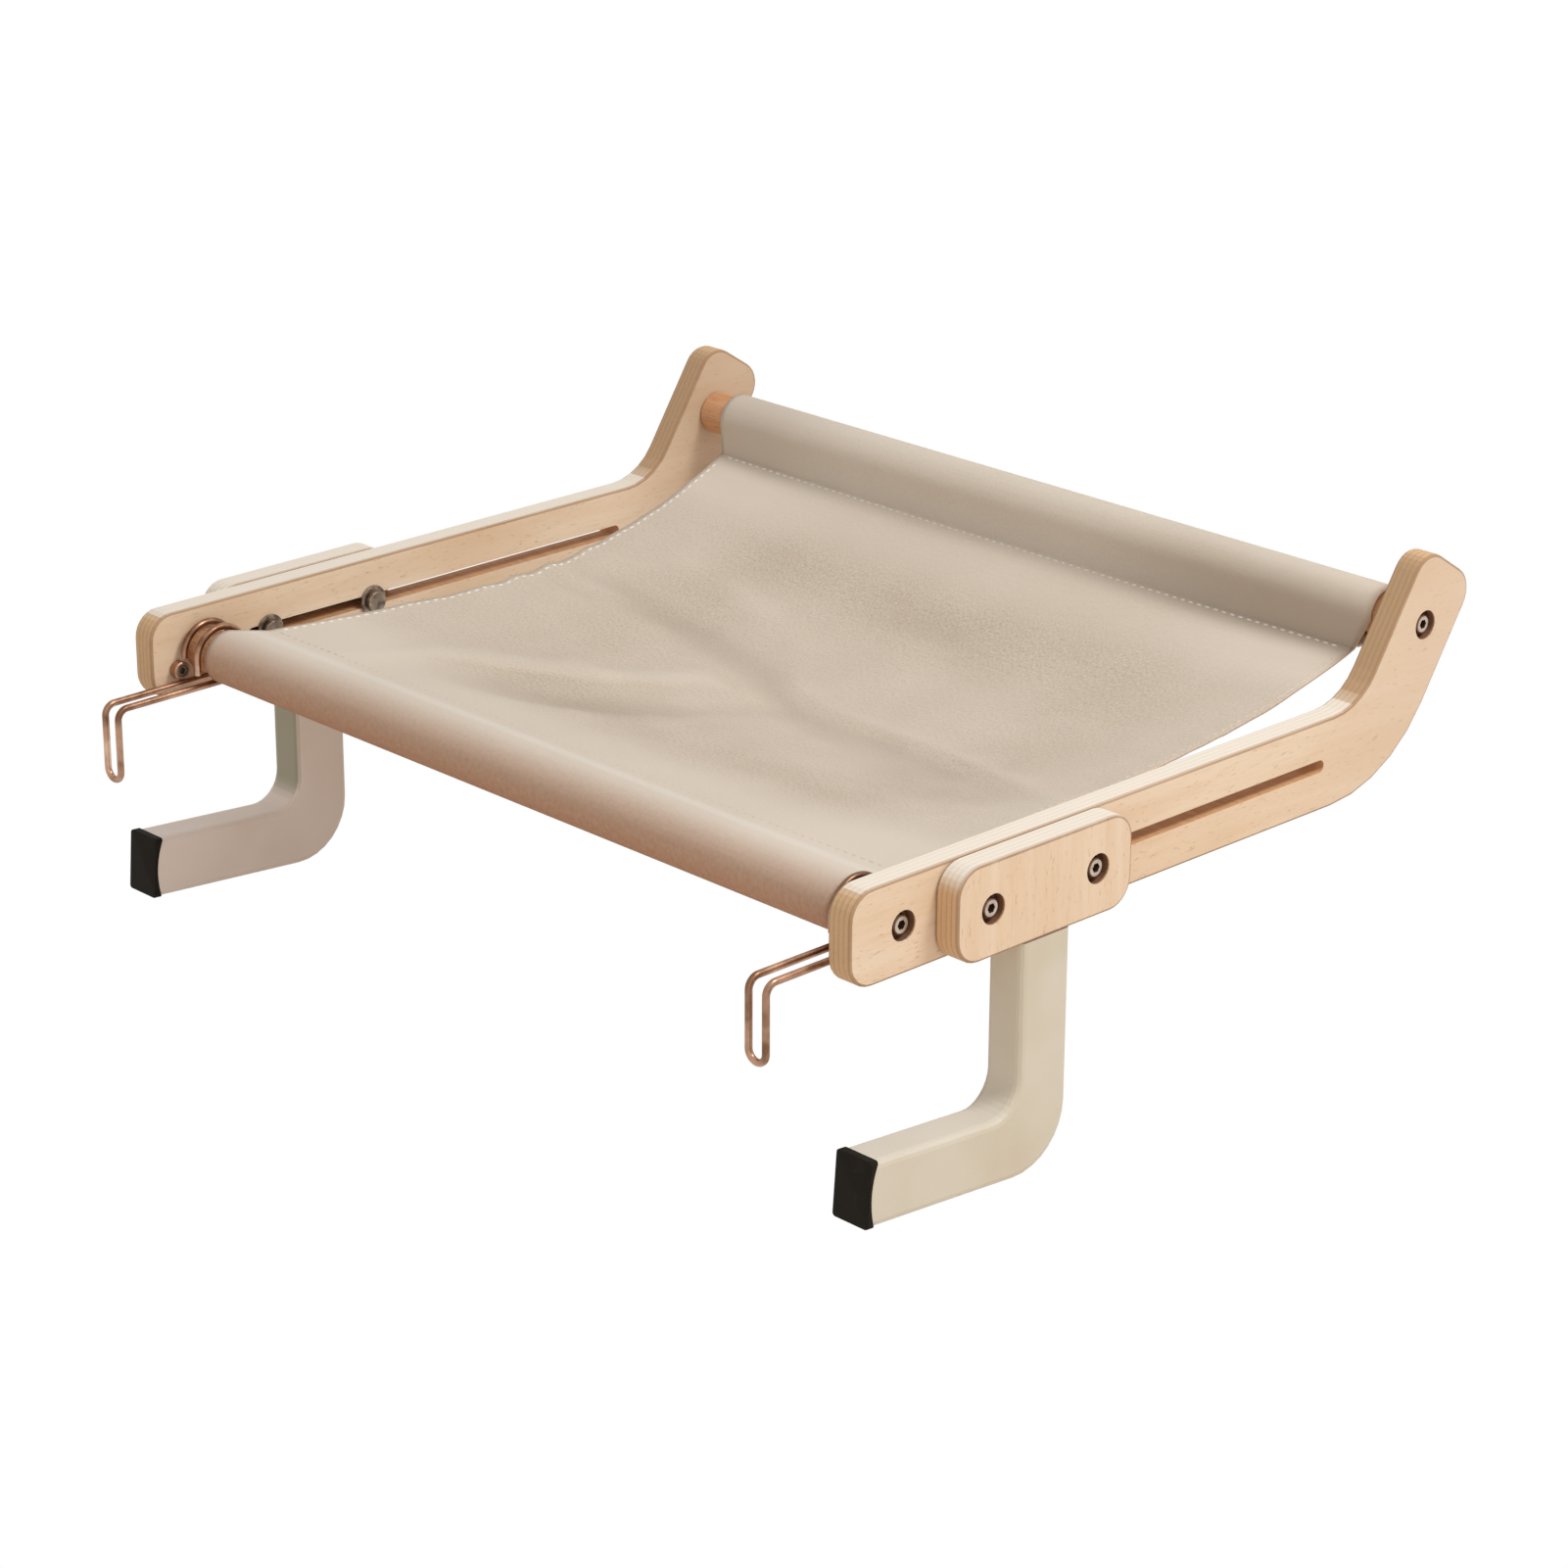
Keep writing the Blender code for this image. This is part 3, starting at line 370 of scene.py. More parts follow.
canvas = {
    "cloth": shade(213, 195, 174),
    "light": shade(226, 210, 191),
    "dark": shade(182, 160, 136),
    # pale serves the speckles, painted light on the fold crests and toward the sheet's ends, and the paler
    # hems and middle
    "pale": shade(236, 221, 203),
    # painted shade in the fold hollows and on the rear sleeve
    "hollowShade": shade(168, 146, 124),
    # thread serves the white stitches and the painted highlight along the front crease
    "thread": shade(250, 246, 238),
    # painted warm shade on the front sleeve's underside
    "under": shade(190, 134, 94),
    "yarn": 0.00062,
    "yarnDrift": 1.4,
    "patterns": {
        "drift": (90.0, 2.0),
        "slubAcross": (1.0, 2.0, 0.6),
        "slubAlong": (1.0, 2.0, 0.6),
        "mottle": (420.0, 3.0, 0.7),
        "clouds": (16.0, 3.0, 0.55),
        "fuzz": (2600.0, 2.0, 0.7),
        "speckle": (950.0, 3.0, 0.7),
    },
    "stretch": {
        "slubAcross": ((14.0, 900.0, 1.0),),
        "slubAlong": ((900.0, 14.0, 1.0),),
        "speckle": ((1.0, 0.7, 1.0),),
    },
    "layers": (
        ("clouds", 0.30, 0.72, 1, "light"),
        ("slubAcross", 0.55, 0.78, 0.30, "dark"),
        ("slubAlong", 0.55, 0.78, 0.26, "light"),
        ("mottle", 0.50, 0.74, 0.46, "dark"),
        ("mottle", 0.46, 0.28, 0.36, "light"),
        ("weave", 0.05, 0.90, 0.28, "dark"),
        ("speckle", 0.50, 0.64, 0.60, "dark"),
        ("speckle", 0.48, 0.34, 0.60, "pale"),
        # painted light on the fold crests, and painted shade in their hollows
        ("fold", 0.1, 0.9, 0.55, "pale"),
        ("fold", -0.1, -1.0, 0.42, "hollowShade"),
    ),
    # where the painted light toward the sheet's ends lies
    "frontEnd": (0.300, 0.352),
    "rearEnd": (0.132, 0.096),
    "endShare": (0.50, 0.5),
    "hems": (0.10, 0.18),
    "hemShare": 0.4,
    "heartAlong": (0.13, 0.18, 0.25, 0.31),
    "heartAcross": (0.15, 0.05),
    "heartShare": 0.40,
    # where the painted shade on the rear sleeve lies
    "rearSleeve": (0.094, 0.080),
    "lowerSleeve": (0.044, 0.066),
    "rightSleeve": (0.02, 0.16),
    "rightShare": (0.25, 0.9),
    "leftSleeve": (-0.10, -0.17),
    "leftShare": 0.6,
    "sleeveShadeShare": 0.5,
    # where the painted highlight along the front crease lies
    "creaseHighlight": (0.375, 0.381, 0.383, 0.389),
    "creaseHighlightShare": 0.3,
    # where the painted shade on the front sleeve's underside lies
    "underSleeveShade": (0.387, 0.423),
    "underShadeShare": (1.25, 0.6),
    "rough": {"base": 0.88, "mottle": 0.10},
    "height": {"weave": 0.5, "slubAcross": 0.8, "slubAlong": 0.8, "fuzz": 0.5, "mottle": 0.5, "speckle": 0.6},
    "bump": (0.00026, 0.75),
    "fixed": {"Specular IOR Level": 0.14, "Sheen Weight": 0.25, "Sheen Roughness": 0.6},
}


def canvasMaterial():
    material, point = startMaterial("beigeCanvas")
    flat = point["UV"]
    across, along = flat.axes("XY")
    wires = addPatterns(flat, canvas["patterns"], canvas["stretch"])
    turn = 2 * math.pi / canvas["yarn"]
    drift = wires["drift"] * canvas["yarnDrift"]
    wires["weave"] = (across * turn + drift).sine() * (along * turn + drift).sine()
    # the fold height, read for the painted light and shade on the folds
    wires["fold"] = flat.make("ShaderNodeAttribute", {"attribute_name": "fold"}, None, "Fac")
    mottle = wires["mottle"]
    colour = layered(canvas["cloth"], wires, canvas["layers"], canvas)
    # paler toward both ends as painted light; paler also at the hems and the middle
    endBase, endMottle = canvas["endShare"]
    litEnds = along.band(*canvas["frontEnd"]) + along.band(*canvas["rearEnd"])
    hems = abs(across).band(*canvas["hems"]) * canvas["hemShare"]
    colour = (litEnds * (mottle * endMottle + endBase) + hems).mix(colour, canvas["pale"])
    heart = along.rise(*canvas["heartAlong"]) * abs(across).band(*canvas["heartAcross"])
    colour = (heart * canvas["heartShare"]).mix(colour, canvas["pale"])
    # painted shade on the rear sleeve: darker at its right end, most toward the seam, and a little at its
    # left one
    sleeveBase, sleeveLower = canvas["rightShare"]
    lower = along.band(*canvas["lowerSleeve"]) * sleeveLower + sleeveBase
    sleeveShade = across.band(*canvas["rightSleeve"]) * lower
    sleeveShade = sleeveShade + across.band(*canvas["leftSleeve"]) * canvas["leftShare"]
    sleeveShade = sleeveShade * along.band(*canvas["rearSleeve"])
    colour = (sleeveShade * canvas["sleeveShadeShare"]).mix(colour, canvas["hollowShade"])
    # a painted highlight along the crease at the front seam, and painted warm shade on the front sleeve's
    # underside
    colour = (along.rise(*canvas["creaseHighlight"]) * canvas["creaseHighlightShare"]).mix(colour, canvas["thread"])
    # painted warm shade on the front sleeve's underside, broken by the mottle
    underMost, underMottle = canvas["underShadeShare"]
    under = along.band(*canvas["underSleeveShade"]) * (underMost - mottle * underMottle)
    return finishMaterial(material, under.mix(colour, canvas["under"]), wires, canvas)


thread = {
    "patterns": {"twist": (2600.0, 2.0, 0.6)},
    "stretch": {"twist": ((1.0, 1.0, 1.0), (0.6, 0.3, 0.9))},
    "layers": (("twist", 0.35, 0.75, 1, "other"),),
    "rough": {"base": 0.8, "twist": 0.1},
    "height": {"twist": 1},
    "bump": (0.0001, 0.5),
    "fixed": {"Specular IOR Level": 0.2},
}


# Painted legs: the right one cream, its feet paler on top as painted light; the left one a paler, rosier copy
# as painted light, with an olive front of painted shade

paint = {
    "cream": shade(217, 208, 190),
    "creamWarm": shade(210, 198, 176),
    # a paler, rosier copy of the cream for the left leg: painted light; its front darker: painted shade
    "leftLegLit": shade(250, 236, 225),
    "leftLegLitWarm": shade(244, 228, 214),
    "leftLegFrontShade": shade(168, 162, 138),
    # paler tops of the feet: painted light
    "footTopLit": shade(229, 223, 212),
    "patterns": {"clouds": (22.0, 2.0, 0.5), "peel": (900.0, 2.0, 0.55), "speck": (2400.0, 1.0, 0.5)},
    "creamLayers": (("clouds", 0.35, 0.70, 1, "creamWarm"), ("facingUp", 0.5, 0.97, 0.6, "footTopLit")),
    "leftLegLitLayers": (("clouds", 0.35, 0.70, 1, "leftLegLitWarm"),),
    "specks": (("speck", 0.66, 0.78, 0.18, "creamWarm"),),
    # where the painted shade on the left leg's front lies
    "frontShadeTurn": (-0.5, -0.95),
    "frontShadeSpan": (-0.096, -0.080),
    "leftBlend": (0.0, -0.1),
    "rough": {"base": 0.40, "peel": 0.14},
    "height": {"peel": 1, "speck": 0.3},
    "bump": (0.00009, 0.5),
    "fixed": {"Specular IOR Level": 0.42},
}


def paintMaterial():
    material, point = startMaterial("creamPowderCoat")
    placeX, placeZ = point["Object"].axes("XZ")
    normalY, normalZ = point["Normal"].axes("YZ")
    wires = addPatterns(point["Object"], paint["patterns"], {})
    # facing up, for the painted light on the tops of the feet
    wires["facingUp"] = normalZ
    cream = layered(paint["cream"], wires, paint["creamLayers"], paint)
    # painted light: the left leg takes the paler copy of the paint
    leftLegLit = layered(paint["leftLegLit"], wires, paint["leftLegLitLayers"], paint)
    # painted shade on the left leg's front
    front = normalY.band(*paint["frontShadeTurn"]) * placeZ.band(*paint["frontShadeSpan"])
    leftLegLit = front.mix(leftLegLit, paint["leftLegFrontShade"])
    colour = placeX.band(*paint["leftBlend"]).mix(cream, leftLegLit)
    return finishMaterial(material, layered(colour, wires, paint["specks"], paint), wires, paint)


rubber = {
    "black": shade(30, 26, 20),
    "dust": shade(44, 39, 33),
    "patterns": {"grit": (1700.0, 3.0, 0.7), "clouds": (120.0, 2.0, 0.5)},
    "stretch": {},
    "layers": (("clouds", 0.50, 0.80, 0.5, "dust"),),
    "rough": {"base": 0.62, "grit": 0.2},
    "height": {"grit": 1, "clouds": 0.5},
    "bump": (0.00012, 0.6),
    "fixed": {"Specular IOR Level": 0.12},
}


# Metals

metal = {
    "zinc": shade(206, 188, 172),
    "zincWorn": shade(172, 160, 146),
    "rolled": shade(168, 168, 166),
    "rolledDark": shade(120, 119, 117),
    "bronze": shade(146, 130, 114),
    "bronzeDark": shade(98, 84, 72),
    "bronzeRub": shade(206, 190, 170),
    "copper": shade(186, 146, 120),
    "copperDark": shade(118, 82, 60),
    "copperGold": shade(232, 200, 172),
    # dark colour for painted shade on the tops of the right hook's loops
    "loopShade": shade(84, 56, 40),
    # dark steel for painted shade in the bolts' sockets and a painted dark reflection round their heads
    "oiled": shade(118, 86, 66),
    "boltShadeRub": shade(150, 124, 106),
    "patchNoise": (3.0, 0.6),
    "patterns": {"scratch": (2200.0, 3.0, 0.6), "grain": (3200.0, 2.0, 0.6)},
    "stretch": {"scratch": ((1.0, 0.12, 1.0), (0.4, 0.2, 0.3))},
    "layers": (
        ("patches", 0.38, 0.66, 1, "dark"),
        ("patches", 0.40, 0.28, 0.6, "bright"),
        ("scratch", 0.60, 0.76, 0.3, "bright"),
    ),
    # where the painted shade on the right hook's loops lies
    "loopShadeAcross": (0.1, 0.2),
    "loopShadeUp": (0.0, 0.008),
    "loopShadeShare": 0.7,
    "patchRough": 0.14,
    "grainRough": 0.08,
    "height": {"scratch": 1, "grain": 0.6},
    "bump": (0.00005, 0.5),
    "fixed": {"Metallic": 1.0},
}

# name, main, dark and bright colour, roughness, scale of the patches
metalKinds = {
    "zinc": ("brightZinc", "zinc", "zincWorn", "zinc", 0.22, 160.0),
    "rolled": ("rolledPlate", "rolled", "rolledDark", "rolled", 0.4, 60.0),
    "bronze": ("antiqueBronze", "bronze", "bronzeDark", "bronzeRub", 0.32, 210.0),
    "copper": ("antiqueCopper", "copper", "copperDark", "copperGold", 0.22, 48.0),
    "oiled": ("boltShadeSteel", "oiled", "oiled", "boltShadeRub", 0.45, 300.0),
}


def metalMaterial(kind):
    name, main, dark, bright, roughness, scale = metalKinds[kind]
    material, point = startMaterial(name)
    patterns = {"patches": (scale, *metal["patchNoise"]), **metal["patterns"]}
    wires = addPatterns(point["Object"], patterns, metal["stretch"])
    colour = layered(metal[main], wires, metal["layers"], {"dark": metal[dark], "bright": metal[bright]})
    if kind == "copper":
        # painted shade: the loops of the right hook darker on top, where they lie in shade by the panel
        placeX, placeZ = point["Object"].axes("XZ")
        loopShade = placeX.band(*metal["loopShadeAcross"]) * placeZ.band(*metal["loopShadeUp"])
        colour = (loopShade * metal["loopShadeShare"]).mix(colour, metal["loopShade"])
    rough = {"base": roughness, "patches": metal["patchRough"], "grain": metal["grainRough"]}
    return finishMaterial(material, colour, wires, {**metal, "rough": rough})


print("materials")
looks = {
    "panel": birchMaterial("birchPanel", birch["panelInner"], "y", birch["panelSinks"]),
    "block": birchMaterial("birchBlock", birch["blockInner"], "z", birch["blockSinks"], birch["blockLitTop"]),
    "dowel": plainMaterial("oiledDowel", dowel["pale"], dowel, dowel),
    "canvas": canvasMaterial(),
    "thread": plainMaterial("whiteThread", canvas["thread"], thread, {"other": canvas["light"]}),
    "toneThread": plainMaterial("beigeThread", canvas["light"], thread, {"other": canvas["cloth"]}),
    "paint": paintMaterial(),
    "rubber": plainMaterial("blackRubber", rubber["black"], rubber, rubber),
}
for kind in metalKinds:
    looks[kind] = metalMaterial(kind)
dressing = {
    "side_panel_": "panel", "clamp_block_": "block", "clamp_plate_": "rolled", "leg_tube_": "paint",
    "leg_end_pad_": "rubber", "hook_wire_": "copper", "hook_lock_barrel_": "copper",
    "hook_lock_screw_": "bronze",
}
endDressing = {
    "frame_bolt_": "zinc", "dowel_insert_": "bronze", "clamp_bolt_": "zinc", "clamp_washer_": "bronze",
    "clamp_nut_": "bronze",
}


def dress(nodeName, look):
    materials = nodes[nodeName].data.materials
    materials.clear()
    materials.append(looks[look])


for side, label in sides:
    for start, look in dressing.items():
        dress(start + label, look)
    for start, look in endDressing.items():
        for end in ends:
            dress(start + end + "_" + label, look)
for end in ends:
    dress(end + "_dowel", "dowel")


# Mesh helpers

# points closer than this become one
mergeGap = 0.000004


def addObject(name, data):
    made = bpy.data.objects.new(name, data)
    bpy.context.scene.collection.objects.link(made)
    return made


def addPiece(name, shape, body, look, slotName, smoothAngle, secondLook=None):
    mesh = bpy.data.meshes.new(name)
    bmesh.ops.recalc_face_normals(shape, faces=shape.faces)
    shape.to_mesh(mesh)
    shape.free()
    mesh.materials.append(looks[look])
    if secondLook:
        mesh.materials.append(looks[secondLook])
    mesh.shade_smooth()
    mesh.set_sharp_from_angle(angle=math.radians(smoothAngle))
    piece = addObject(name, mesh)
    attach(piece, body)
    return piece


def newOf(kind, made):
    return [item for item in made["geom"] if isinstance(item, kind)]


def turned(profile, steps, shape=None):
    # spins (radius, height) points about the Z axis
    shape = shape or bmesh.new()
    points = [shape.verts.new((radius, 0, height)) for radius, height in profile]
    lines = [shape.edges.new(pair) for pair in zip(points, points[1:])]
    bmesh.ops.spin(shape, geom=points + lines, cent=(0, 0, 0), axis=(0, 0, 1), dvec=(0, 0, 0),
                   angle=2 * math.pi, steps=steps, use_merge=True, use_duplicate=False)
    bmesh.ops.remove_doubles(shape, verts=shape.verts, dist=mergeGap)
    return shape


def rounded(radius, height, corner, steps):
    # profile points of a rounded rim, from its top round to its side
    points = []
    for step in range(steps + 1):
        angle = quarter * step / steps
        points.append((radius - corner + corner * math.sin(angle),
                       height - (corner - corner * math.cos(angle))))
    return points


def move(shape, verts, place, turn):
    bmesh.ops.transform(shape, matrix=Matrix.Translation(place) @ turn, verts=verts)


def addFastener(node, shape, body, side, place, *looksAndSlot):
    # its own +Z is turned to the outside of the given side
    x, y, z = place
    move(shape, shape.verts, (side * x, y, z), Matrix.Rotation(side * quarter, 4, "Y"))
    piece = addPiece(node + "_look", shape, body, *looksAndSlot)
    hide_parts(node)


def swept(route, radius, ringSides):
    # a round wire along a line of points, closed at both ends
    shape = bmesh.new()
    places = [Vector(point) for point in route]
    heading = (places[1] - places[0]).normalized()
    facing = heading.to_track_quat("Z", "Y").to_matrix()
    ring = bmesh.ops.create_circle(shape, cap_ends=True, segments=ringSides, radius=radius)["verts"]
    move(shape, ring, places[0], facing.to_4x4())
    edges = list({edge for vert in ring for edge in vert.link_edges})
    for index in range(1, len(places)):
        ahead = places[min(index + 1, len(places) - 1)] - places[index]
        behind = places[index] - places[index - 1]
        new = (ahead.normalized() + behind.normalized()).normalized() if ahead.length else behind.normalized()
        turn = heading.rotation_difference(new).to_matrix().to_4x4()
        step = Matrix.Translation(places[index]) @ turn @ Matrix.Translation(-places[index - 1])
        grown = bmesh.ops.extrude_edge_only(shape, edges=edges)
        edges = newOf(bmesh.types.BMEdge, grown)
        bmesh.ops.transform(shape, matrix=step, verts=newOf(bmesh.types.BMVert, grown))
        heading = new
    bmesh.ops.contextual_create(shape, geom=edges)
    return shape


# Bolts, washers and domed nuts

bolt = {
    "rim": 0.00425,
    "height": 0.004,
    "edge": 0.0008,
    "edgeSteps": 4,
    "flats": 0.0037,
    "socket": 0.0024,
    "shank": 0.0025,
    "thread": 0.00018,
    "threadPitch": 0.0008,
    "steps": 48,
    "smooth": 30,
    "frameTop": 0.2258,
    "clampTop": 0.2381,
    "frameLength": 0.0258,
    "clampLength": 0.0269,
}


def buildBolt(node, body, side, top, y, z, length):
    # socket screw: ring round the hexagon, socket, head and threaded shank
    shape = bmesh.new()
    bmesh.ops.create_circle(shape, segments=6, radius=bolt["flats"] / math.sqrt(3))
    bmesh.ops.subdivide_edges(shape, edges=shape.edges[:], cuts=bolt["steps"] // 6 - 1)
    socket = shape.edges[:]
    rim = rounded(bolt["rim"], 0, bolt["edge"], bolt["edgeSteps"])
    outer = bmesh.ops.create_circle(shape, segments=bolt["steps"], radius=rim[0][0])["verts"]
    circle = list({edge for vert in outer for edge in vert.link_edges})
    bmesh.ops.bridge_loops(shape, edges=socket + circle)
    grown = bmesh.ops.extrude_edge_only(shape, edges=socket)
    bmesh.ops.translate(shape, vec=(0, 0, -bolt["socket"]), verts=newOf(bmesh.types.BMVert, grown))
    bmesh.ops.contextual_create(shape, geom=newOf(bmesh.types.BMEdge, grown))
    # painted shade: the socket's walls and floor take the dark second look
    for face in shape.faces:
        if face.calc_center_median().z < 0:
            face.material_index = 1
    flat = bolt["rim"] - bolt["edge"]
    profile = [(flat, 0)] + rim[1:] + [(bolt["rim"], -bolt["height"]), (bolt["shank"], -bolt["height"])]
    drop = bolt["height"] + bolt["threadPitch"]
    while drop < length - bolt["threadPitch"]:
        profile.append((bolt["shank"], -drop))
        profile.append((bolt["shank"] - bolt["thread"], -drop - bolt["threadPitch"] / 2))
        drop += bolt["threadPitch"]
    profile += [(bolt["shank"] - bolt["edge"], -length), (0, -length)]
    turned(profile, bolt["steps"], shape)
    # painted dark reflection: the head's rounded rim and side take the dark second look
    for face in shape.faces:
        if face.calc_center_median().to_2d().length > flat:
            face.material_index = 1
    addFastener(node, shape, body, side, (top, y, z), "zinc", "bolt_steel", bolt["smooth"], "oiled")


washer = {
    "rim": 0.0071,
    "bore": 0.0028,
    "thickness": 0.0012,
    "edge": 0.0004,
    "edgeSteps": 3,
    "top": 0.2147,
    "steps": 64,
    "smooth": 30,
}


def buildWasher(node, body, side, y):
    rim = rounded(washer["rim"], 0, washer["edge"], washer["edgeSteps"])
    low = [(radius, -washer["thickness"] - height) for radius, height in reversed(rim)]
    bore = washer["bore"]
    profile = [(bore, 0)] + rim + low + [(bore, -washer["thickness"]), (bore, 0)]
    shape = turned(profile, washer["steps"])
    addFastener(node, shape, body, side, (washer["top"], y, 0), "bronze", "dark_bronze", washer["smooth"])


nut = {
    "rim": 0.0050,
    "collar": 0.0020,
    "dome": 0.0012,
    "bore": 0.0028,
    "boreDepth": 0.0023,
    "edge": 0.0006,
    "shoulderSteps": 5,
    "domeShares": (0.80, 0.6, 0.4, 0.2, 0.0),
    "seat": 0.2132,
    "steps": 64,
    "smooth": 30,
}


def buildNut(node, body, side, y):
    # blind bore, seat, collar with a rounded shoulder, and a low dome
    rim, edge, collar = nut["rim"], nut["edge"], nut["collar"]
    profile = [(0, -nut["boreDepth"]), (nut["bore"], -nut["boreDepth"]), (nut["bore"], 0),
               (rim - edge / 2, 0), (rim, -edge / 2)]
    for step in range(nut["shoulderSteps"] + 1):
        angle = quarter * step / nut["shoulderSteps"]
        profile.append((rim - edge * (1 - math.cos(angle)), -collar - edge * math.sin(angle)))
    for share in nut["domeShares"]:
        profile.append((rim * share, -collar - edge - (nut["dome"] - edge) * (1 - share * share)))
    shape = turned(profile, nut["steps"])
    addFastener(node, shape, body, side, (nut["seat"], y, 0), "bronze", "dark_bronze", nut["smooth"])


print("fasteners")
for side, label in sides:
    for end, place in zip(ends, birch["panelSinks"]):
        name = end + "_" + label
        buildBolt("frame_bolt_" + name, "frame", side, bolt["frameTop"], *place, bolt["frameLength"])
    for end, place in zip(ends, birch["blockSinks"]):
        name, body = end + "_" + label, "clamp_" + label
        buildBolt("clamp_bolt_" + name, body, side, bolt["clampTop"], *place, bolt["clampLength"])
        buildWasher("clamp_washer_" + name, body, side, place[0])
        buildNut("clamp_nut_" + name, body, side, place[0])


# End caps of the legs

cap = {
    "halfWidth": 0.0097,
    "halfDepth": 0.0142,
    "corner": 0.0016,
    "rim": 0.0004,
    "rimSteps": 3,
    "wall": 0.00015,
    "tubeCorner": 0.0029,
    "flange": 0.0014,
    "skirt": 0.0026,
    "plugInset": 0.0020,
    "plugDepth": 0.0104,
    "cornerSteps": 8,
    "sideSteps": 12,
    "centre": (0.2295, -0.029226, -0.101354),
    "rise": math.radians(4.4),
    "smooth": 30,
}


def capRing(inset, corner, depth, bow=0.0):
    # a rounded rectangle of points at a depth below the cap's face; the bow sets its ends deeper
    halfX, halfY = cap["halfWidth"] - inset, cap["halfDepth"] - inset
    steps = cap["cornerSteps"]
    arcs = []
    for turn, (signX, signY) in enumerate(((1, 1), (-1, 1), (-1, -1), (1, -1))):
        arc = []
        for step in range(steps + 1):
            angle = quarter * (turn + step / steps)
            arc.append(Vector((signX * (halfX - corner) + corner * math.cos(angle),
                               signY * (halfY - corner) + corner * math.sin(angle), 0)))
        arcs.append(arc)
    ring = []
    for arc, after in zip(arcs, arcs[1:] + arcs[:1]):
        ring += arc + [arc[-1].lerp(after[0], step / cap["sideSteps"]) for step in range(1, cap["sideSteps"])]
    for point in ring:
        point.z = -depth - bow * (point.y / halfY) ** 2
    return ring


def buildCap(side, label):
    # moulded cap: face with a rounded rim, skirt over the tube's end, and plug inside it
    corner, tubeCorner, flange = cap["corner"], cap["tubeCorner"], cap["flange"]
    rings = []
    for step in range(cap["rimSteps"] + 1):
        angle = quarter * step / cap["rimSteps"]
        inset = cap["rim"] * (1 - math.sin(angle))
        rings.append(capRing(inset, corner - inset, cap["rim"] * (1 - math.cos(angle))))
    rings += [capRing(0, corner, flange),
              capRing(0, corner, flange, cap["skirt"]),
              capRing(cap["wall"], tubeCorner, flange, cap["skirt"]),
              capRing(cap["wall"], tubeCorner, flange),
              capRing(cap["plugInset"], corner, flange),
              capRing(cap["plugInset"], corner, cap["plugDepth"])]
    count, last = len(rings[0]), len(rings) - 1
    shape = bmesh.new()
    bmesh.ops.create_grid(shape, x_segments=count, y_segments=last, size=0.5)
    for vert in shape.verts:
        vert.co = rings[round((vert.co.y + 0.5) * last)][round((vert.co.x + 0.5) * count) % count]
    bmesh.ops.remove_doubles(shape, verts=shape.verts, dist=mergeGap)
    bmesh.ops.holes_fill(shape, edges=[edge for edge in shape.edges if edge.is_boundary], sides=count)
    x, y, z = cap["centre"]
    move(shape, shape.verts, (side * x, y, z), Matrix.Rotation(quarter - cap["rise"], 4, "X"))
    piece = addPiece("legEndCap_" + label, shape, "clamp_" + label, "rubber", "black_rubber", cap["smooth"])
    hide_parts("leg_end_pad_" + label)


print("end caps")
for side, label in sides:
    buildCap(side, label)


# Wire hooks

hook = {
    "middle": 0.2065,
    "pitch": 0.0095,
    "wire": 0.00155,
    "centreWire": 0.0016,
    "dowel": 0.010,
    "loopTurn": 1.5 * math.pi,
    "loopFront": 0.0020,
    "loopBack": 0.0007,
    "reach": 0.0578,
    "tipZ": -0.0475,
    "corner": 0.005,
    "innerEndZ": -0.0065,
    "lockForward": 0.0156,
    "lockDrop": 0.0063,
    "lockReach": 0.0060,
    "loopSteps": 72,
    "cornerSteps": 16,
    "ringSides": 20,
    "smooth": 50,
}


def loopPlace(share):
    angle = math.pi - hook["loopTurn"] * share
    gap = hook["loopFront"] + (hook["loopBack"] - hook["loopFront"]) * share
    radius = hook["dowel"] + gap + hook["centreWire"]
    return radius * math.cos(angle), radius * math.sin(angle)


def hookRoute(side):
    # the wire's line from one end over the dowel, along the arm, round the tail's tip and back
    half, bend, reach = hook["pitch"] / 2, hook["corner"], hook["reach"]
    startY = loopPlace(0)[0]
    lean = startY + hook["lockForward"]
    lockEnd = -hook["lockDrop"] + math.sqrt(hook["lockReach"] ** 2 - lean ** 2)
    armZ = -(hook["dowel"] + hook["loopBack"] + hook["centreWire"])
    way = [(half, *loopPlace(step / hook["loopSteps"])) for step in range(hook["loopSteps"] + 1)]
    steps = hook["cornerSteps"]
    for step in range(steps + 1):
        angle = quarter * (1 + step / steps)
        way.append((half, -reach + bend + bend * math.cos(angle), armZ - bend + bend * math.sin(angle)))
    turnZ = hook["tipZ"] + hook["centreWire"] + half
    for step in range(steps):
        angle = quarter * step / steps
        way.append((half * math.cos(angle), -reach, turnZ - half * math.sin(angle)))
    back = [(-x, y, z) for x, y, z in reversed(way)]
    wireEnds = {side: (side * half, startY, lockEnd), -side: (-side * half, startY, hook["innerEndZ"])}
    line = [wireEnds[1]] + way + [(0, -reach, turnZ - half)] + back + [wireEnds[-1]]
    return [(x + side * hook["middle"], y, z) for x, y, z in line]


print("hooks")
for side, label in sides:
    wire = addPiece("hookWire_" + label, swept(hookRoute(side), hook["wire"], hook["ringSides"]),
                    "hook_" + label, "copper", "hook_bronze", hook["smooth"])
    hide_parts("hook_wire_" + label)


# The sling: t is the share of its run from the front seam to the rear one

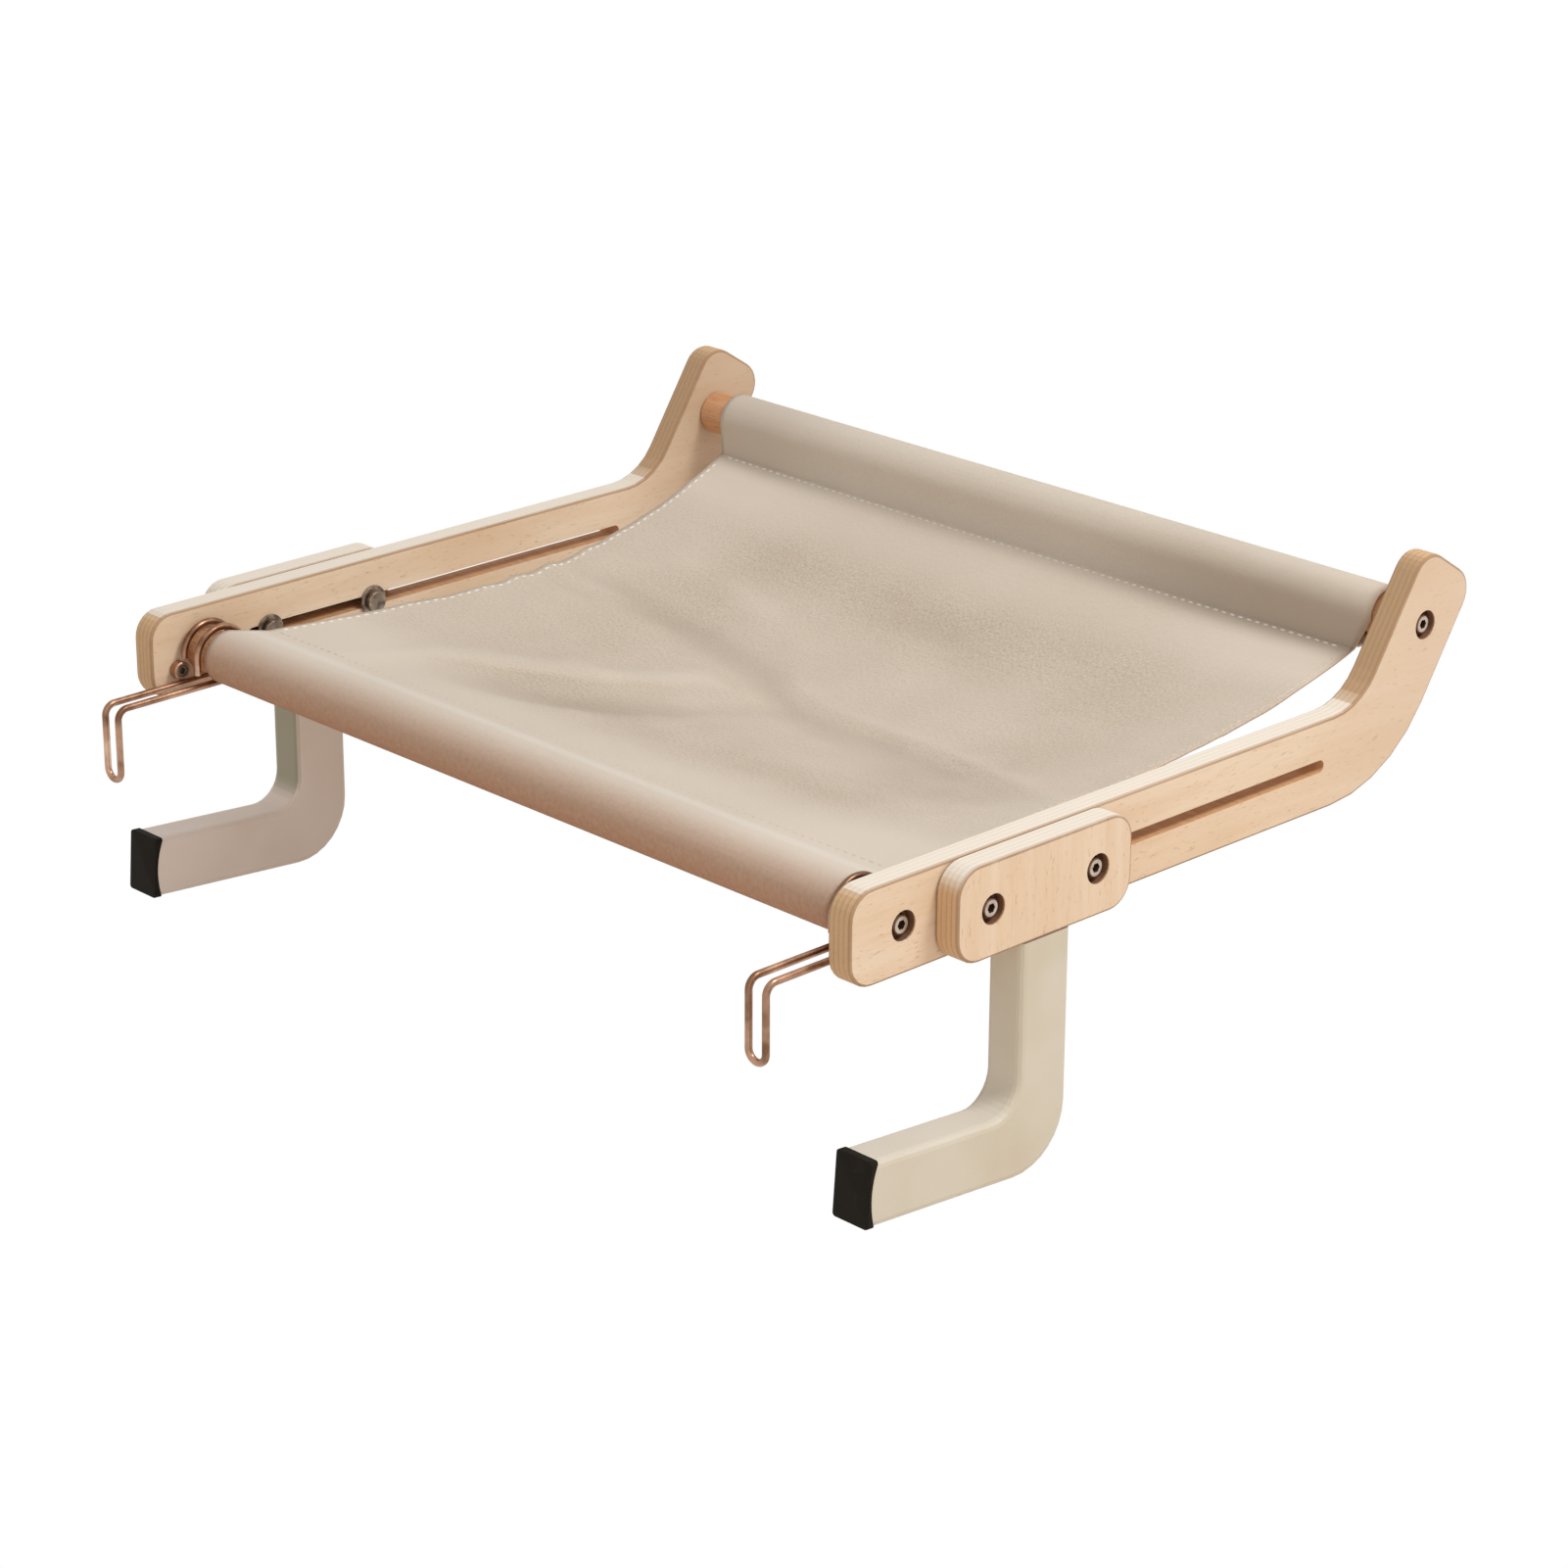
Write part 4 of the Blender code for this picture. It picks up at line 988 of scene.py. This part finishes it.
perMetre = 1000
sling = {
    "width": 0.396,
    "waist": 0.010,
    "thickness": 0.0013,
    "layerGap": 0.0003,
    "frontSeam": (0.024, 0.006),
    "rearSeam": (0.3045, 0.0315),
    "rearDowel": (0.315, 0.047),
    "sleeveRadius": 0.01155,
    "sag": 0.018,
    "frontSlope": -0.03,
    "rearSlope": 0.42,
    "sagAlong": 0.8,
    "sagAcross": 2.4,
    "foldScale": 3.2,
    "foldInset": (0.004, 0.010),
    "seamFade": 0.5,
    "rearBulge": 0.0085,
    "bulgeFrom": 0.42,
    "columns": 132,
    "rows": 108,
    "sleeveSteps": 34,
    "smooth": 60,
}
(frontY, frontZ), (rearY, rearZ) = sling["frontSeam"], sling["rearSeam"]
run = rearY - frontY

# Folds as lines over the sheet in mm: points, height, half width, and how sharp one flank is
folds = [
    ([(-165, 8), (-155, 21), (-138, 70), (-113, 93), (-83, 122), (-57, 155), (-20, 162)], 4.4, 13, 0.45),
    ([(-150, 38), (-110, 55), (-70, 79), (-39, 123), (-16, 158)], -3.4, 16, 0.0),
    ([(-190, 192), (-151, 196), (-96, 193), (-47, 184), (-8, 164), (25, 159), (71, 160), (91, 156),
      (119, 148), (160, 133)], -4.0, 14, 0.0),
    ([(-40, 196), (-16, 180), (12, 174), (52, 172), (78, 169), (104, 165), (145, 151), (185, 136)],
     3.4, 10, 0.0),
    ([(-180, 222), (-140, 230), (-90, 226), (-40, 208)], 1.8, 17, 0.0),
    ([(40, 140), (100, 128), (160, 112)], -1.8, 20, 0.0),
    ([(-60, 250), (20, 246), (110, 236)], -1.0, 20, 0.0),
    ([(-60, 45), (5, 52), (80, 62)], 1.2, 22, 0.0),
]
foldForm = {"used": 0.92, "from": 0.04, "fade": 0.6, "crest": 0.28, "fall": 1.5}

# Small puckers that start at a side hem: side, along mm, height mm, reach mm
puckers = [(-1, 96, 0.5, 20), (-1, 118, -0.4, 24), (-1, 140, 0.6, 26), (-1, 151, -0.6, 22),
           (-1, 161, 0.8, 34), (-1, 171, -0.9, 30), (-1, 181, 1.1, 44), (-1, 206, 0.9, 40),
           (-1, 216, -0.6, 36), (-1, 228, 0.5, 30), (1, 120, 0.5, 20), (1, 160, -0.5, 24),
           (1, 196, 0.5, 26), (1, 230, -0.4, 20)]
puckerForm = {"hem": 188, "slant": 0.25, "halfWidth": 3.4}

# Slight unevenness all over: size mm, height mm
ripples = ((42, 0.9), (17, 0.35))
rippleSqueeze = 1.6


def lengthsAlong(points):
    lengths = [0.0]
    for before, here in zip(points, points[1:]):
        lengths.append(lengths[-1] + (here - before).length)
    return lengths


def lineDistance(x, y, points):
    # distance to a line of points, its share along it, and which side
    best = (math.inf, 0.0, 1)
    count = len(points) - 1
    for index in range(count):
        startX, startY = points[index]
        endX, endY = points[index + 1]
        runX, runY = endX - startX, endY - startY
        share = ((x - startX) * runX + (y - startY) * runY) / (runX * runX + runY * runY)
        share = min(max(share, 0.0), 1.0)
        awayX, awayY = x - startX - runX * share, y - startY - runY * share
        distance = math.hypot(awayX, awayY)
        if distance < best[0]:
            turn = 1 if runX * awayY - runY * awayX > 0 else -1
            best = (distance, (index + share) / count, turn)
    return best


def foldLift(x, y):
    # x and y in mm
    total = 0.0
    for points, height, halfWidth, steep in folds:
        distance, share, turn = lineDistance(x, y, points)
        width = halfWidth * (1 - steep if turn < 0 else 1)
        along = min(max(share * foldForm["used"] + foldForm["from"], 0), 1)
        fade = math.sin(math.pi * along) ** foldForm["fade"]
        soft = width * foldForm["crest"]
        total += height * fade * math.exp(-foldForm["fall"] * (math.hypot(distance, soft) - soft) / width)
    for side, along, height, reach in puckers:
        inward = puckerForm["hem"] - side * x
        off = (y - along - puckerForm["slant"] * inward) / puckerForm["halfWidth"]
        total += height * math.exp(-off ** 2) * math.exp(-max(inward, 0) / reach)
    for size, height in ripples:
        total += height * noise.noise(Vector((x / size, rippleSqueeze * y / size, size)))
    return total


def sheetHeight(across, t):
    # the sheet without its folds: a curve from seam to seam, less the sag
    edge = (frontZ * (1 + 2 * t) * (1 - t) ** 2 + sling["frontSlope"] * run * t * (1 - t) ** 2
            + rearZ * t * t * (3 - 2 * t) + sling["rearSlope"] * run * t * t * (t - 1))
    level = math.sin(math.pi * t)
    belly = max(level, 0) ** sling["sagAlong"] * (1 - (2 * abs(across)) ** sling["sagAcross"])
    return edge - sling["sag"] * belly


def waistAt(t):
    return sling["waist"] * math.sin(math.pi * t)


def foldedHeight(x, y, t):
    # the folds' height in metres, none at the seams
    fade = max(math.sin(math.pi * t), 0) ** sling["seamFade"]
    return foldLift(x * perMetre, y * perMetre) / perMetre * fade


def sleeveArc(centre, seam, turn):
    reach = seam - centre
    facing = math.atan2(reach.y, reach.x)
    spread = math.acos(sling["sleeveRadius"] / reach.length)
    sweep = 2 * math.pi - 2 * spread
    points = []
    for step in range(sling["sleeveSteps"] + 1):
        angle = facing + turn * (spread + sweep * step / sling["sleeveSteps"])
        points.append(centre + Vector((math.cos(angle), math.sin(angle))) * sling["sleeveRadius"])
    return points


def slingSection(across):
    # (y, z), waist and t, from the rear sleeve's end to the front one's; the sleeves have no t
    front, rear = Vector((0, 0)), Vector(sling["rearDowel"])
    frontSeam, rearSeam = Vector(sling["frontSeam"]), Vector(sling["rearSeam"])
    layer = sling["thickness"] + sling["layerGap"]
    rearEnd = rearSeam + (rear - rearSeam).normalized() * layer + Vector((layer, -layer / 2))
    frontEnd = frontSeam - (frontSeam - front).normalized() * layer + Vector((0, -layer))
    bulge = sling["rearBulge"] * max(0, (across - sling["bulgeFrom"]) / (0.5 - sling["bulgeFrom"])) ** 2
    rows = [(rearEnd, 0.0, None)]
    rows += [(point, -bulge, None) for point in reversed(sleeveArc(rear, rearSeam, -1))]
    for row in range(sling["rows"] + 1):
        t = 1 - row / sling["rows"]
        rows.append((Vector((frontY + run * t, sheetHeight(across, t))), waistAt(t), t))
    rows += [(point, 0.0, None) for point in sleeveArc(front, frontSeam, 1)]
    rows.append((frontEnd, 0.0, None))
    return rows


def slingPoint(across, section, index):
    point, waist, t = section[index]
    x = across * (sling["width"] - 2 * waist)
    y, z = point
    if t is not None:
        z += foldedHeight(x, y, t)
    return Vector((x, y, z))


def buildSling():
    lengths = lengthsAlong([point for point, waist, t in slingSection(0)])
    columns, last = sling["columns"], len(lengths) - 1
    sections = [slingSection(column / columns - 0.5) for column in range(columns + 1)]
    shape = bmesh.new()
    bmesh.ops.create_grid(shape, x_segments=columns, y_segments=last, size=0.5, calc_uvs=True)
    flatMap = shape.loops.layers.uv.new("flat")
    flat = {}
    for vert in shape.verts:
        column = round((vert.co.x + 0.5) * columns)
        row = round((vert.co.y + 0.5) * last)
        across = column / columns - 0.5
        flat[vert] = (across * sling["width"], lengths[row])
        vert.co = slingPoint(across, sections[column], row)
    for face in shape.faces:
        for loop in face.loops:
            loop[flatMap].uv = flat[loop.vert]
    # fold height per point, read by the canvas for painted light on crests and painted shade in hollows
    foldLayer = shape.verts.layers.float.new("fold")
    frontInset, rearInset = sling["foldInset"]
    for vert in shape.verts:
        if frontY + frontInset < vert.co.y < rearY - rearInset:
            vert[foldLayer] = foldLift(vert.co.x * perMetre, vert.co.y * perMetre) / sling["foldScale"]
    piece = addPiece("slingCloth", shape, "frame", "canvas", "canvas", sling["smooth"])
    wall = piece.modifiers.new("cloth", "SOLIDIFY")
    wall.thickness = sling["thickness"]
    wall.offset = 0
    return piece, lengths[-1]


def sheetPoint(across, t):
    # a place on the sheet's upper side
    x = across * (sling["width"] - 2 * waistAt(t))
    y = frontY + run * t
    return Vector((x, y, sheetHeight(across, t) + foldedHeight(x, y, t) + sling["thickness"] / 2))


stitch = {"length": 0.0030, "pitch": 0.0048, "radius": 0.00055, "sides": 8, "rings": 4, "smooth": 40}


def buildStitches(name, line, look, thick):
    # short threads laid end to end along a line of points
    shape = bmesh.new()
    marks = lengthsAlong(line)
    for number in range(int(marks[-1] / stitch["pitch"])):
        target = (number + 0.5) * stitch["pitch"]
        index = next(place for place in range(len(marks) - 1) if marks[place + 1] >= target)
        share = (target - marks[index]) / (marks[index + 1] - marks[index])
        middle = line[index].lerp(line[index + 1], share)
        heading = (line[index + 1] - line[index]).to_track_quat("Z", "Y").to_matrix().to_4x4()
        made = bmesh.ops.create_uvsphere(shape, u_segments=stitch["sides"], v_segments=stitch["rings"],
                                         radius=stitch["radius"])["verts"]
        bmesh.ops.scale(shape, vec=(thick, thick, stitch["length"] / 2 / stitch["radius"]), verts=made)
        move(shape, made, middle, heading)
    return addPiece(name, shape, "frame", look, "canvas", stitch["smooth"])


# look and thickness of each row of stitches; the seams also say where they cross the sheet
hem = {
    "inset": 0.0030,
    "steps": 160,
    "span": (0.015, 0.985),
    "left": ("thread", 1.0),
    "right": ("toneThread", 0.7),
    "seams": (("rear", 0.992, "thread", 1.0), ("front", 0.006, "toneThread", 0.6)),
    "seamInset": 2,
}
print("sling")
clothPiece, clothLength = buildSling()
firstShare, lastShare = hem["span"]
for side, label in sides:
    inset = 0.5 - hem["inset"] / sling["width"]
    line = [sheetPoint(side * inset, firstShare + (lastShare - firstShare) * step / hem["steps"])
            for step in range(hem["steps"] + 1)]
    buildStitches("hemStitches_" + label, line, *hem[label])
for label, share, look, thick in hem["seams"]:
    line = [sheetPoint(step / hem["steps"] - 0.5, share)
            for step in range(hem["seamInset"], hem["steps"] - hem["seamInset"] + 1)]
    buildStitches("seamStitches_" + label, line, look, thick)
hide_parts("sling")


# Camera

view = {
    "place": (1.3076, -1.1093, 0.6568),
    "yaw": 0.802,
    "pitch": 0.3691,
    "roll": 0.004,
    "focalPixels": 4485,
    "framePixels": 1601,
    "sensor": 36,
    "near": 0.05,
    "far": 20,
}
print("camera")
yaw, pitch, roll = view["yaw"], view["pitch"], view["roll"]
forward = Vector((-math.sin(yaw) * math.cos(pitch), math.cos(yaw) * math.cos(pitch), -math.sin(pitch)))
level = Vector((math.cos(yaw), math.sin(yaw), 0))
upright = level.cross(forward)
right = level * math.cos(roll) + upright * math.sin(roll)
top = upright * math.cos(roll) - level * math.sin(roll)
lensData = bpy.data.cameras.new("camera")
lensData.lens = view["focalPixels"] / view["framePixels"] * view["sensor"]
lensData.sensor_width = view["sensor"]
lensData.clip_start = view["near"]
lensData.clip_end = view["far"]
camera = addObject("camera", lensData)
camera.matrix_world = Matrix((*zip(right, top, -forward, view["place"]), (0, 0, 0, 1)))
bpy.context.scene.camera = camera


# Floor, lamps and world: both show as plain white, and light the object with a colour of their own

studio = {
    "floorSize": 6.0,
    "floorDrop": 0.0006,
    "floor": {"Base Color": shade(236, 224, 212), "Roughness": 0.9, "Specular IOR Level": 0.1},
    "air": {"Color": (1.0, 0.99, 0.975, 1.0), "Strength": 0.55},
    "backdrop": {"Color": (1, 1, 1, 1), "Strength": 1.0},
}


def showWhite(tree, lit, kind, outputName):
    rays = tree.nodes.new("ShaderNodeLightPath").outputs
    seen = sum(Wire(tree, rays[ray]) for ray in ("Is Camera Ray", "Is Glossy Ray", "Is Transmission Ray"))
    white = seen.make(kind, None, studio["backdrop"])
    blended = seen.make("ShaderNodeMixShader", None, {0: seen, 1: Wire(tree, lit.outputs[0]), 2: white})
    tree.links.new(blended.socket, tree.nodes[outputName].inputs["Surface"])


print("studio")
floorShape = bmesh.new()
bmesh.ops.create_grid(floorShape, x_segments=1, y_segments=1, size=studio["floorSize"] / 2)
bmesh.ops.translate(floorShape, verts=floorShape.verts, vec=(0, 0, cadBox[0].z - studio["floorDrop"]))
floorMesh = bpy.data.meshes.new("floor")
floorShape.to_mesh(floorMesh)
floorShape.free()
floor = addObject("floor", floorMesh)
floorMaterial = bpy.data.materials.new("paleFloor")
floorMaterial.use_nodes = True
floorShader = floorMaterial.node_tree.nodes["Principled BSDF"]
for name, value in studio["floor"].items():
    floorShader.inputs[name].default_value = value
showWhite(floorMaterial.node_tree, floorShader, "ShaderNodeEmission", "Material Output")
floorMesh.materials.append(floorMaterial)

world = bpy.data.worlds.new("studio")
world.use_nodes = True
bpy.context.scene.world = world
air = world.node_tree.nodes["Background"]
for name, value in studio["air"].items():
    air.inputs[name].default_value = value
showWhite(world.node_tree, air, "ShaderNodeBackground", "World Output")

softboxes = [
    {"name": "keySoftbox", "from": (0.50, 0.20, 0.78), "distance": 1.9, "size": 0.55, "level": 0.50,
     "tint": (1.0, 0.99, 0.975)},
    {"name": "fillSoftbox", "from": (0.72, -0.66, 0.30), "distance": 1.5, "size": 1.1, "level": 0.08,
     "tint": (1.0, 0.98, 0.95)},
]
middle = (cadBox[0] + cadBox[1]) / 2
for box in softboxes:
    lampData = bpy.data.lights.new(box["name"], "AREA")
    lampData.shape = "SQUARE"
    lampData.size = box["size"]
    lampData.color = box["tint"]
    lampData.energy = box["level"] * math.pi ** 2 * box["distance"] ** 2
    lamp = addObject(box["name"], lampData)
    away = Vector(box["from"]).normalized()
    lamp.location = middle + away * box["distance"]
    lamp.rotation_mode = "QUATERNION"
    lamp.rotation_quaternion = away.to_track_quat("Z", "Y")

bpy.context.scene.view_settings.view_transform = "Standard"

print("done")
